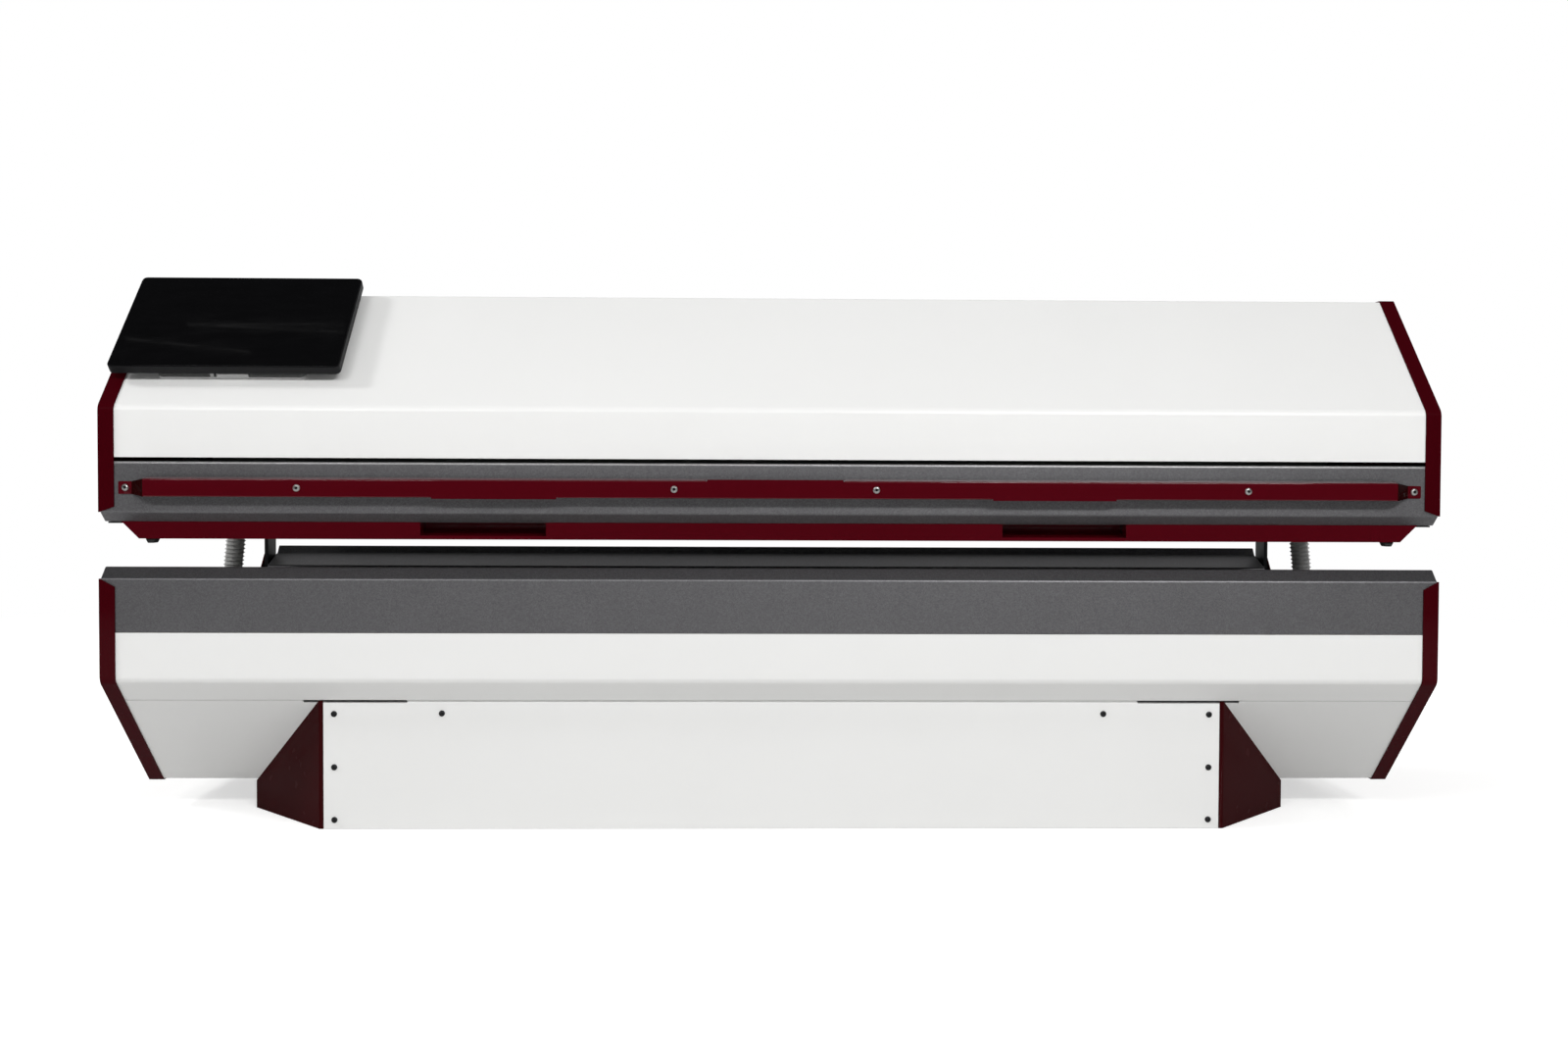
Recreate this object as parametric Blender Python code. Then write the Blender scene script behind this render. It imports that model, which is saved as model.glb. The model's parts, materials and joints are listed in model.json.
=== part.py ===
"""Red light therapy bed: a rear-hinged clamshell of folded sheet panels on an eight-sided pedestal.

The bed lies along x, its front faces -y, and the origin is on the floor under the middle of the pedestal.
"""
import math

import bmesh
import bpy
from mathutils import Matrix, Vector

# Overall sizes, in metres
LENGTH = 2.250
DEPTH = 0.900
SHEET = 0.002
GAP = 0.0003

# End caps
CAP_FLANGE = 0.026
CAP_NOTCH = 0.009
BASE_CAP_NOTCH = 0.0135
CAP_SHOULDER = 0.023
CAP_DIP = 0.055

# Base cross-section, stacked upwards from the floor
FOOT_CLEARANCE = 0.0515
BASE_FACET_RISE = 0.2045
BASE_FACET_RUN = 0.211
BASE_PANEL_RISE = 0.082
BASE_RIM_RISE = 0.090
SEAM_DROP = 0.0364
SEAM_WIDTH = 0.001
SLOT_INSET = 0.142
SLOT_LENGTH = 0.176
SLOT_HEIGHT = 0.004
SLOT_NOTCH = 0.002

# Rim profile, the same on base and canopy but for the canopy's crest and turned-in edge
RIM_CHAMFER_RISE = 0.019
RIM_CHAMFER_RUN = 0.0195
RIM_CREST = 0.007
RIM_STEEP_RUN = 0.012
RIM_STEEP_DROP = 0.015
RIM_SLOPE_RUN = 0.0715
RIM_SLOPE_DROP = 0.025
RIM_LIP = 0.011
RIM_ROUND = 0.006
CREST_SETBACK = 0.003
RIM_RETURN = 0.012

# Canopy cross-section, stacked upwards from the base rim
MOUTH = 0.073
CANOPY_RIM_RISE = 0.085
SHADOW_GAP = 0.0064
CANOPY_PANEL_RISE = 0.0846
CANOPY_FACET_RISE = 0.2105
CANOPY_FACET_RUN = 0.204

# End decks beside the trays
DECK_LENGTH = 0.145
DECK_DROP = 0.056
DECK_WALL = 0.100
DECK_EDGE = 0.010
WIRE_HOLE = 0.016

# Light trays and boards
TRAY_FLANGE = 0.034
TRAY_LAP = 0.0145
BASE_TRAY_WALL = 0.0607
BASE_TRAY_TAPER = 0.006
BASE_TRAY_SLOPE_RUN = 0.112
BASE_TRAY_SLOPE_DROP = 0.055
CANOPY_TRAY_WALL = 0.0687
CANOPY_TRAY_SIDE_RUN = 0.093
CANOPY_TRAY_SIDE_RISE = 0.155
CANOPY_TRAY_TOP_RUN = 0.100
CANOPY_TRAY_TOP_RISE = 0.033
BOARD = 0.002
BOARD_MARGIN = 0.006
BOARD_END = 0.010

# Clear bed and clear canopy cover
BED_THICKNESS = 0.008
BED_SAG = 0.084
BED_STEPS = 14
COVER_THICKNESS = 0.005
COVER_CLEARANCE = 0.012
CLEAR_EDGE = 0.0045
CLEAR_LEDGE = 0.0165

# Electrical boxes on the floor of the base
DRIVER_SIZE = (0.440, 0.200, 0.070)
DRIVER_X = 0.500
CONTROL_SIZE = (0.320, 0.240, 0.090)

# Pedestal
PANEL_INSET = 0.359
CORNER_STRIP = 0.007
FLARE_RUN = 0.162
FLARE_DIP = 0.005
FRAME_TUBE = 0.050
FRAME_CLEARANCE = 0.0131
FRAME_CROSS_X = 0.445

# Hinges at the rear ends of the mouth
PIVOT_INSET = 0.020
KNUCKLE = 0.0155
PIN_RADIUS = 0.005
PIN_HEAD_RADIUS = 0.008
PIN_HEAD = 0.004
HINGE_PLATE = 0.008
HINGE_INSET = 0.013
HINGE_SIDE_GAP = 0.0005
HINGE_RIM_CUT = 0.0055
HINGE_FRONT = 0.031
STOP_DEPTH = 0.012
STOP_RISE = 0.029
STOP_HEIGHT = 0.010
PLATE_FOOT = 0.008
ARM_TOP_DROP = 0.004

# Ribbed conduits
CONDUIT_INSET = 0.057
CONDUIT_Y = 0.050
CONDUIT_RADIUS = 0.0195
CONDUIT_ROOT = 0.0165
CONDUIT_BORE = 0.011
CONDUIT_RIBS = 26
CONDUIT_BOW = 0.003
GLAND_RADIUS = 0.0265
GLAND_HEIGHT = 0.012

# Grab strip on the canopy rim
STRIP_DROP = 0.0295
STRIP_HEIGHT = 0.0295
STRIP_PROUD = 0.025
STRIP_FLANGE = 0.012
STRIP_SLANT = 0.003
STRIP_INSET = 0.0835
STRIP_RAMP = 0.027
TAB_LENGTH = 0.023
TAB_HEIGHT = 0.021
STRIP_TOP_GAP = 0.230
STRIP_LOW_GAP = 0.210
STRIP_LOW_X = 0.466
STRIP_LIP = 0.002
STRIP_RELIEF = 0.002
POST_RADIUS = 0.006
POSTS_X = (-0.790, -0.168, 0.168, 0.790)

# Handle rail under the canopy rim
RAIL_END_INSET = 0.0295
RAIL_FACE_INSET = 0.022
RAIL_DEPTH = 0.056
RAIL_DROP = 0.0258
RAIL_BEVEL = 0.029
POCKET_LENGTH = 0.211
POCKET_X = 0.4915
POCKET_LIP = 0.0063
POCKET_HEIGHT = 0.026
POCKET_DEPTH = 0.046
BUMPER_INSET = 0.076
BUMPER_TOP = 0.018
BUMPER_LOW = 0.010
BUMPER_DEPTH = 0.020
BUMPER_HEIGHT = 0.0072

# Tablet, measured up and out from the canopy's front facet
TABLET_INSET = 0.1995
TABLET_WIDTH = 0.387
TABLET_HEIGHT = 0.236
TABLET_LOW = 0.0622
TABLET_STANDOFF = 0.0166
TABLET_DEPTH = 0.015
TABLET_CORNER = 0.009
GLASS = 0.0015
GLASS_INSET = 0.0015
TILT_UP = 0.018
TILT_DEPTH = 0.007
TILT_LUG = 0.006
TILT_PIN = 0.0035
LUG_WIDTH = 0.046
EAR_WIDTH = 0.006
EAR_FOOT = 0.0105
MOUNT_WIDTH = 0.248
MOUNT_OFFSET = 0.006
MOUNT_RISE = 0.0075
MOUNT_HEIGHT = 0.102
MOUNT_PLATE = 0.004
MOUNT_CORNER = 0.008

# Fans under the slots of the canopy top
FAN_X = 0.500
FAN_Y = 0.080
FAN_SIZE = 0.120
FAN_DEPTH = 0.025
FAN_BORE = 0.057
FAN_SEAT = 0.020
FAN_SEAT_HEIGHT = 0.003
FAN_ARM = 0.006
HUB_RADIUS = 0.021
HUB_HEIGHT = 0.0185
BLADES = 7
BLADE_TIP_GAP = 0.0025
BLADE_THICKNESS = 0.0018
BLADE_ROOT_CHORD = 0.013
BLADE_TIP_CHORD = 0.022
BLADE_ROOT_PITCH = 36.0
BLADE_TIP_PITCH = 24.0
BLADE_RINGS = 4
VENT_SLOTS = 8
VENT_PITCH = 0.013
VENT_WIDTH = 0.006
VENT_LENGTH = 0.110

# Mains inlet and rocker switch on the rear panel
INLET_X = 0.632
INLET_RISE = 0.026
INLET_WIDTH = 0.064
INLET_HEIGHT = 0.032
INLET_DEPTH = 0.034
INLET_RIM = 0.0035
INLET_RIM_DEPTH = 0.0018
SOCKET_WIDTH = 0.028
SOCKET_DEPTH = 0.018
INLET_WALL = 0.005
ROCKER_WIDTH = 0.017
ROCKER_HEIGHT = 0.021
ROCKER_ROOT = 0.012
ROCKER_CLEARANCE = 0.0015
WELL_DEPTH = 0.014

# Places worked out from the sizes above
HALF_LENGTH = LENGTH / 2
HALF_DEPTH = DEPTH / 2
PANEL_HALF = HALF_LENGTH - PANEL_INSET
SKIN = SHEET + GAP
FACE_Y = HALF_DEPTH - SKIN
INNER_END = HALF_LENGTH - SHEET - 2 * GAP
BASE_BEND = FOOT_CLEARANCE + BASE_FACET_RISE
BASE_SPLIT = BASE_BEND + BASE_PANEL_RISE
RIM_BEND = BASE_SPLIT + BASE_RIM_RISE
RIM_TOP = RIM_BEND + RIM_CHAMFER_RISE
CANOPY_RIM = RIM_TOP + MOUTH
CANOPY_RIM_BEND = CANOPY_RIM + RIM_CHAMFER_RISE
CANOPY_RIM_EDGE = CANOPY_RIM_BEND + CANOPY_RIM_RISE
CANOPY_SHELL_EDGE = CANOPY_RIM_EDGE + SHADOW_GAP
CANOPY_BEND = CANOPY_SHELL_EDGE + CANOPY_PANEL_RISE
CANOPY_TOP = CANOPY_BEND + CANOPY_FACET_RISE
CANOPY_TOP_HALF = HALF_DEPTH - CANOPY_FACET_RUN
MIRROR_SUM = RIM_TOP + CANOPY_RIM
LIP_Y = FACE_Y - RIM_CHAMFER_RUN - RIM_CREST - RIM_STEEP_RUN - RIM_SLOPE_RUN
LIP_BOTTOM = RIM_TOP - RIM_STEEP_DROP - RIM_SLOPE_DROP - RIM_LIP
DECK_TOP = RIM_TOP - DECK_DROP
TRAY_END = HALF_LENGTH - DECK_LENGTH
TRAY_Y = LIP_Y + TRAY_LAP - TRAY_FLANGE
TRAY_SEAT = LIP_BOTTOM - GAP
PIVOT_Y = HALF_DEPTH - PIVOT_INSET
PIVOT_Z = MIRROR_SUM / 2
PLATE_OUTER_X = HALF_LENGTH - HINGE_INSET
PLATE_INNER_X = PLATE_OUTER_X - HINGE_PLATE
ARM_OUTER_X = PLATE_INNER_X - HINGE_SIDE_GAP
ARM_INNER_X = ARM_OUTER_X - HINGE_PLATE
CONDUIT_X = HALF_LENGTH - CONDUIT_INSET
RAIL_TOP = CANOPY_RIM + CREST_SETBACK
RAIL_BOTTOM = CANOPY_RIM - RAIL_DROP
RAIL_FRONT = RAIL_FACE_INSET - HALF_DEPTH

# Frames that turn flat (u, v) outlines and their sweep w into the bed's axes
ALONG_X = Matrix(((0, 0, 1, 0), (1, 0, 0, 0), (0, 1, 0, 0), (0, 0, 0, 1)))
ALONG_Y = Matrix(((1, 0, 0, 0), (0, 0, 1, 0), (0, 1, 0, 0), (0, 0, 0, 1)))

FINISH = {
    "white": ((0.86, 0.86, 0.84), 0.35, 0.0, 1.0),
    "red": ((0.085, 0.003, 0.006), 0.40, 0.0, 1.0),
    "grey": ((0.10, 0.10, 0.105), 0.38, 0.6, 1.0),
    "black": ((0.012, 0.012, 0.013), 0.45, 0.0, 1.0),
    "steel": ((0.45, 0.45, 0.46), 0.30, 1.0, 1.0),
    "zinc": ((0.55, 0.56, 0.57), 0.45, 1.0, 1.0),
    "clear": ((0.92, 0.95, 0.96), 0.06, 0.0, 0.25),
    "board": ((0.80, 0.80, 0.78), 0.50, 0.0, 1.0),
    "rubber": ((0.02, 0.02, 0.02), 0.80, 0.0, 1.0),
    "conduit": ((0.28, 0.28, 0.29), 0.32, 0.0, 1.0),
    "glass": ((0.006, 0.006, 0.008), 0.05, 0.0, 1.0),
    "light_grey": ((0.50, 0.50, 0.50), 0.45, 0.0, 1.0),
}


# Modelling helpers

def clear_scene():
    for item in list(bpy.data.objects):
        bpy.data.objects.remove(item)


def finish(item, kind):
    """Gives an object its own Principled material and smooth round faces."""
    colour, roughness, metallic, alpha = FINISH[kind]
    material = bpy.data.materials.new(item.name + "_" + kind)
    material.use_nodes = True
    shader = material.node_tree.nodes["Principled BSDF"]
    shader.inputs["Base Color"].default_value = (*colour, 1.0)
    shader.inputs["Roughness"].default_value = roughness
    shader.inputs["Metallic"].default_value = metallic
    shader.inputs["Alpha"].default_value = alpha
    item.data.materials.clear()
    item.data.materials.append(material)
    if item.type == "MESH":
        item.data.shade_smooth()
        item.data.set_sharp_from_angle(angle=math.radians(30))
    return item


def from_bmesh(name, work, frame=None):
    """Turns a bmesh into an object with its faces pointing out."""
    bmesh.ops.recalc_face_normals(work, faces=work.faces)
    mesh = bpy.data.meshes.new(name)
    work.to_mesh(mesh)
    work.free()
    if frame is not None:
        mesh.transform(frame)
        if frame.determinant() < 0:
            mesh.flip_normals()
    item = bpy.data.objects.new(name, mesh)
    bpy.context.scene.collection.objects.link(item)
    return item


def combine(target, tool, operation):
    """Joins a tool body to a target, or cuts it away, and removes the tool."""
    modifier = target.modifiers.new(operation, "BOOLEAN")
    modifier.operation = operation
    modifier.solver = "EXACT"
    modifier.object = tool
    graph = bpy.context.evaluated_depsgraph_get()
    result = bpy.data.meshes.new_from_object(target.evaluated_get(graph))
    target.modifiers.clear()
    target.data = result
    bpy.data.objects.remove(tool)
    return target


def set_origin(item, point):
    """Moves an object's origin to a point without moving its shape."""
    item.data.transform(Matrix.Translation(-Vector(point)))
    item.location = point


def carry(name, point, items):
    """Parents objects to an empty that stands on their joint's axis."""
    empty = bpy.data.objects.new(name, None)
    empty.location = point
    bpy.context.scene.collection.objects.link(empty)
    for item in items:
        item.parent = empty
        item.matrix_parent_inverse = Matrix.Translation(-Vector(point))
    return empty


def offset(path, distance, closed=False):
    """Moves a flat path to its left by a distance, with mitred corners."""
    count = len(path)
    moved = []
    for i, point in enumerate(path):
        normals = []
        for a, b in ((i - 1, i), (i, i + 1)):
            if not closed and (a < 0 or b >= count):
                continue
            step = Vector(path[b % count]) - Vector(path[a % count])
            step.normalize()
            normals.append(Vector((-step.y, step.x)))
        mean = sum(normals, Vector((0.0, 0.0)))
        mean.normalize()
        moved.append(tuple(Vector(point) + mean * (distance / mean.dot(normals[0]))))
    return moved


def fillet(path, radius, steps=4):
    """Rounds the inner corners of an open flat path."""
    points = [path[0]]
    for before, corner, after in zip(path, path[1:], path[2:]):
        a = Vector(before) - Vector(corner)
        b = Vector(after) - Vector(corner)
        half = a.angle(b) / 2
        tangent = min(radius / math.tan(half), 0.45 * a.length, 0.45 * b.length)
        start = Vector(corner) + a.normalized() * tangent
        end = Vector(corner) + b.normalized() * tangent
        for k in range(steps + 1):
            t = k / steps
            blend = start * (1 - t) ** 2 + Vector(corner) * (2 * t * (1 - t)) + end * t ** 2
            points.append(tuple(blend))
    points.append(path[-1])
    return points


def sheet(name, path, thickness, stations, frame=ALONG_X, filled=None):
    """Folds a sheet along a flat path and sweeps it through stations.

    A positive thickness grows to the path's left. Cells that are not filled stay open.
    """
    work = bmesh.new()
    rows = [[work.verts.new((u, v, w)) for u, v in path] for w in stations]
    for i in range(len(stations) - 1):
        for j in range(len(path) - 1):
            if filled is None or filled(i, j):
                work.faces.new((rows[i][j], rows[i + 1][j], rows[i + 1][j + 1], rows[i][j + 1]))
    for vert in [v for v in work.verts if not v.link_faces]:
        work.verts.remove(vert)
    mesh = bpy.data.meshes.new(name)
    work.to_mesh(mesh)
    work.free()
    mesh.transform(frame)
    item = bpy.data.objects.new(name, mesh)
    bpy.context.scene.collection.objects.link(item)
    solid = item.modifiers.new("Thickness", "SOLIDIFY")
    solid.thickness = abs(thickness)
    solid.offset = math.copysign(1.0, thickness * frame.determinant())
    solid.use_even_offset = True
    return item


def prism(name, outline, low, high, frame=ALONG_X):
    """Extrudes a closed flat outline between two stations."""
    work = bmesh.new()
    face = work.faces.new([work.verts.new((u, v, low)) for u, v in outline])
    grown = bmesh.ops.extrude_face_region(work, geom=[face])
    moved = [part for part in grown["geom"] if isinstance(part, bmesh.types.BMVert)]
    bmesh.ops.translate(work, vec=(0.0, 0.0, high - low), verts=moved)
    return from_bmesh(name, work, frame)


def box(name, x, y, z):
    """Makes a box from pairs of limits."""
    work = bmesh.new()
    bmesh.ops.create_cube(work, size=1.0)
    size = [max(pair) - min(pair) for pair in (x, y, z)]
    middle = [(a + b) / 2 for a, b in (x, y, z)]
    bmesh.ops.scale(work, vec=size, verts=work.verts)
    bmesh.ops.translate(work, vec=middle, verts=work.verts)
    return from_bmesh(name, work)


def lathe(name, profile, frame, steps=24):
    """Spins a profile of (radius, height) pairs round its axis; its ends lie on the axis."""
    work = bmesh.new()
    verts = [work.verts.new((radius, 0.0, height)) for radius, height in profile]
    edges = [work.edges.new(pair) for pair in zip(verts, verts[1:])]
    bmesh.ops.spin(
        work, geom=verts + edges, cent=(0, 0, 0), axis=(0, 0, 1), angle=2 * math.pi, steps=steps)
    bmesh.ops.remove_doubles(work, verts=work.verts, dist=1e-6)
    return from_bmesh(name, work, frame)


def rod(name, radius, low, high, frame, steps=24):
    """A plain round rod between two heights."""
    return lathe(name, [(0.0, low), (radius, low), (radius, high), (0.0, high)], frame, steps)


def arc(centre, radius, start, end, count):
    """Points on an arc, with angles in degrees."""
    points = []
    for i in range(count + 1):
        turn = math.radians(start + (end - start) * i / count)
        points.append((centre[0] + radius * math.cos(turn), centre[1] + radius * math.sin(turn)))
    return points


def rounded(u, v, radius):
    """A rectangle with rounded corners from two pairs of limits."""
    points = []
    for cu, cv, start in (
            (u[1] - radius, v[1] - radius, 0), (u[0] + radius, v[1] - radius, 90),
            (u[0] + radius, v[0] + radius, 180), (u[1] - radius, v[0] + radius, 270)):
        points += arc((cu, cv), radius, start, start + 90, 4)
    return points


def mirrored(path):
    """Turns a base path over into the canopy."""
    return [(y, MIRROR_SUM - z) for y, z in path]


def both_sides(half):
    """A path from the front to the rear whose rear half is given from the middle outwards."""
    return [(-y, z) for y, z in reversed(half)] + list(half)


def at_height(a, b, z):
    """The point at height z on the line from a to b."""
    t = (z - a[1]) / (b[1] - a[1])
    return (a[0] + t * (b[0] - a[0]), z)


def at_depth(a, b, y):
    """The point at depth y on the line from a to b."""
    t = (y - a[0]) / (b[0] - a[0])
    return (y, a[1] + t * (b[1] - a[1]))


# Skins of the base and the canopy, set in under the flanges of the end caps

BASE_FLAT = HALF_DEPTH - BASE_FACET_RUN
BASE_SKIN = offset(
    [(0.0, FOOT_CLEARANCE), (BASE_FLAT, FOOT_CLEARANCE), (HALF_DEPTH, BASE_BEND), (HALF_DEPTH, RIM_BEND)], SKIN)
CANOPY_SKIN = offset(
    [(HALF_DEPTH, CANOPY_RIM_BEND), (HALF_DEPTH, CANOPY_BEND), (CANOPY_TOP_HALF, CANOPY_TOP), (0.0, CANOPY_TOP)],
    SKIN)
SEAM_Z = BASE_BEND - SEAM_DROP
SEAM = at_height(BASE_SKIN[1], BASE_SKIN[2], SEAM_Z)
PEDESTAL_FACE = SEAM[0]


def underside(y):
    """Height above the floor of the base's lower facet at a distance from the middle."""
    return at_depth(BASE_SKIN[1], BASE_SKIN[2], abs(y))[1]


# Shells

def end_cap(name, side, loop):
    """A pan-shaped end cap: a plate whose edge turns in along x by the depth given for each corner."""
    outer = [(y, z) for y, z, _ in loop]
    inner = offset(outer, SHEET, closed=True)
    work = bmesh.new()
    rings = []
    for ring, plate in ((outer, 0.0), (outer, None), (inner, None), (inner, SHEET)):
        verts = []
        for (y, z), (_, _, turned) in zip(ring, loop):
            inset = turned if plate is None else plate
            verts.append(work.verts.new((side * (HALF_LENGTH - inset), y, z)))
        rings.append(verts)
    count = len(loop)
    work.faces.new(rings[0])
    work.faces.new(rings[3])
    for a, b in zip(rings, rings[1:]):
        for k in range(count):
            n = (k + 1) % count
            work.faces.new((a[k], a[n], b[n], b[k]))
    return finish(from_bmesh(name, work), "red")


def end_caps():
    lip = SHEET + GAP
    shoulder = HALF_DEPTH - CAP_SHOULDER
    dip = HALF_DEPTH - CAP_DIP
    base_half = [
        (BASE_FLAT, FOOT_CLEARANCE, CAP_FLANGE), (HALF_DEPTH, BASE_BEND, CAP_FLANGE),
        (HALF_DEPTH, RIM_BEND - BASE_CAP_NOTCH, CAP_FLANGE), (HALF_DEPTH, RIM_BEND, lip),
        (shoulder, RIM_BEND, lip), (dip, DECK_TOP + SHEET, lip)]
    canopy_half = [
        (dip, MIRROR_SUM - DECK_TOP - SHEET, lip), (shoulder, CANOPY_RIM_BEND, lip),
        (HALF_DEPTH, CANOPY_RIM_BEND, lip), (HALF_DEPTH, CANOPY_RIM_BEND + CAP_NOTCH, CAP_FLANGE),
        (HALF_DEPTH, CANOPY_BEND, CAP_FLANGE), (CANOPY_TOP_HALF, CANOPY_TOP, CAP_FLANGE)]
    caps = []
    for word, side in (("left", -1), ("right", 1)):
        for name, half in (("base_end_", base_half), ("canopy_end_", canopy_half)):
            front = [(-y, z, turned) for y, z, turned in reversed(half)]
            caps.append(end_cap(name + word, side, half + front))
    return caps[1::2]


def rim_path(start, setback=0.0, turned=0.0):
    """The rim from its outer lower edge over the rounded top and down the inner slope to the lip.

    The crest may be set back, and the outer edge turned in.
    """
    crest = FACE_Y - RIM_CHAMFER_RUN
    steep = crest - RIM_CREST
    slope = steep - RIM_STEEP_RUN
    top = RIM_TOP - setback
    low = RIM_TOP - RIM_STEEP_DROP
    corners = [
        (FACE_Y, start), (FACE_Y, RIM_BEND), (crest, top), (steep, top), (slope, low),
        (LIP_Y, low - RIM_SLOPE_DROP), (LIP_Y, LIP_BOTTOM)]
    if turned > 0.0:
        corners.insert(0, (FACE_Y - turned, start))
    return fillet(corners, RIM_ROUND)


def rims():
    cut = ARM_INNER_X - HINGE_RIM_CUT
    full = [-INNER_END, INNER_END]
    notched = [-INNER_END, -cut, cut, INNER_END]
    base = rim_path(BASE_SPLIT + GAP)
    canopy = mirrored(rim_path(MIRROR_SUM - CANOPY_RIM_EDGE, CREST_SETBACK, RIM_RETURN))
    made = {}
    for name, path, turn in (("base", base, 1), ("canopy", canopy, -1)):
        front = [(-y, z) for y, z in path]
        outer = len(path) - len(base)
        made[name + "_front_rim"] = sheet(name + "_front_rim", front, -turn * SHEET, full)
        made[name + "_rear_rim"] = sheet(
            name + "_rear_rim", path, turn * SHEET, notched,
            filled=lambda i, j, outer=outer: i == 1 or j <= outer)
    for item in made.values():
        finish(item, "grey")
    return [made["canopy_front_rim"], made["canopy_rear_rim"]]


def base_panels():
    low, bend, top = BASE_SKIN[1], BASE_SKIN[2], (FACE_Y, BASE_SPLIT - GAP)
    edge = at_height(low, bend, SEAM_Z + SEAM_WIDTH / 2)
    front = [(-y, z) for y, z in (edge, bend, top)]
    finish(sheet("base_front_panel", front, -SHEET, [-INNER_END, INNER_END]), "white")

    x = (INLET_X - INLET_WIDTH / 2, INLET_X + INLET_WIDTH / 2)
    z = (BASE_BEND + INLET_RISE, BASE_BEND + INLET_RISE + INLET_HEIGHT)
    rear = [edge, bend, (FACE_Y, z[0]), (FACE_Y, z[1]), top]
    item = sheet(
        "base_rear_panel", rear, SHEET, [-INNER_END, x[0], x[1], INNER_END],
        filled=lambda i, j: not (i == 1 and j == 2))
    finish(item, "white")

    under = at_height(low, bend, SEAM_Z - SEAM_WIDTH / 2)
    slot = at_height(low, bend, under[1] - SLOT_HEIGHT)
    a, b = PANEL_HALF - SLOT_INSET, PANEL_HALF - SLOT_INSET + SLOT_LENGTH
    item = sheet(
        "base_lower_pan", both_sides([low, slot, under]), SHEET, [-INNER_END, -b, -a, a, b, INNER_END],
        filled=lambda i, j: not (j == 0 and i in (1, 3)))
    finish(item, "white")


def canopy_shell():
    edge = (FACE_Y, CANOPY_SHELL_EDGE)
    bend, top = CANOPY_SKIN[1], CANOPY_SKIN[2]
    far = (FAN_Y + VENT_LENGTH / 2, top[1])
    near = (FAN_Y - VENT_LENGTH / 2, top[1])
    half = [edge, bend, top]
    path = half + [far, near] + [(-y, z) for y, z in reversed(half)]
    stations = [-INNER_END]
    slots = set()
    for fan in (-FAN_X, FAN_X):
        for k in range(VENT_SLOTS):
            middle = fan + (k - (VENT_SLOTS - 1) / 2) * VENT_PITCH
            slots.add(len(stations))
            stations += [middle - VENT_WIDTH / 2, middle + VENT_WIDTH / 2]
    stations.append(INNER_END)
    vent = path.index(far)
    item = sheet(
        "canopy_shell", path, SHEET, stations, filled=lambda i, j: not (i in slots and j == vent))
    return [finish(item, "white")]


# Inside

def decks():
    """End decks beside the light trays, with a wire hole under each conduit."""
    half = HALF_DEPTH - CAP_DIP - DECK_EDGE
    hole = WIRE_HOLE / 2
    canopy = []
    for name, top, turn in (("base_deck_", DECK_TOP, 1), ("canopy_deck_", MIRROR_SUM - DECK_TOP, -1)):
        for word, side in (("left", -1), ("right", 1)):
            path = [
                (TRAY_END + GAP, top - turn * DECK_WALL), (TRAY_END + GAP, top), (CONDUIT_X - hole, top),
                (CONDUIT_X + hole, top), (INNER_END, top)]
            item = sheet(
                name + word, [(side * x, z) for x, z in path], -turn * side * SHEET,
                [-half, CONDUIT_Y - hole, CONDUIT_Y + hole, half], ALONG_Y,
                lambda i, j: not (i == 1 and j == 2))
            finish(item, "black")
            if turn < 0:
                canopy.append(item)
    return canopy


def boards(prefix, tray, places, turn):
    """Flat light boards lying on faces of a tray, a little shorter than each face."""
    made = []
    for k, word in places:
        a, b = Vector(tray[k]), Vector(tray[k + 1])
        step = (b - a).normalized() * BOARD_MARGIN
        face = offset([tuple(a + step), tuple(b - step)], turn * GAP)
        item = sheet(
            prefix + word, face, turn * BOARD, [-TRAY_END + BOARD_END, TRAY_END - BOARD_END])
        made.append(finish(item, "board"))
    return made


def bed_inside():
    ends = [-TRAY_END, TRAY_END]
    wall = TRAY_Y - BASE_TRAY_TAPER
    shelf = TRAY_SEAT - BASE_TRAY_WALL
    half = [
        (wall - BASE_TRAY_SLOPE_RUN, shelf - BASE_TRAY_SLOPE_DROP), (wall, shelf), (TRAY_Y, TRAY_SEAT),
        (TRAY_Y + TRAY_FLANGE, TRAY_SEAT)]
    tray = both_sides(half)
    finish(sheet("base_led_tray", tray, -SHEET, ends), "zinc")
    boards("base_led_", tray, ((2, "front"), (3, "centre"), (4, "rear")), 1)

    top = TRAY_SEAT + GAP + BED_THICKNESS
    flat = LIP_Y - CLEAR_EDGE - CLEAR_LEDGE
    curve = []
    for i in range(BED_STEPS + 1):
        y = flat * (2 * i / BED_STEPS - 1)
        curve.append((y, top - BED_SAG * (1 - (y / flat) ** 2)))
    bed = [(-LIP_Y + CLEAR_EDGE, top)] + curve + [(LIP_Y - CLEAR_EDGE, top)]
    finish(sheet("acrylic_bed", bed, -BED_THICKNESS, ends), "clear")

    floor = BASE_SKIN[1][1] + SHEET + GAP
    for name, x, size, kind in (
            ("driver_box_left", -DRIVER_X, DRIVER_SIZE, "zinc"),
            ("driver_box_right", DRIVER_X, DRIVER_SIZE, "zinc"),
            ("control_box", 0.0, CONTROL_SIZE, "black")):
        wide, deep, high = size
        item = box(name, (x - wide / 2, x + wide / 2), (-deep / 2, deep / 2), (floor, floor + high))
        finish(item, kind)


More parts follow.
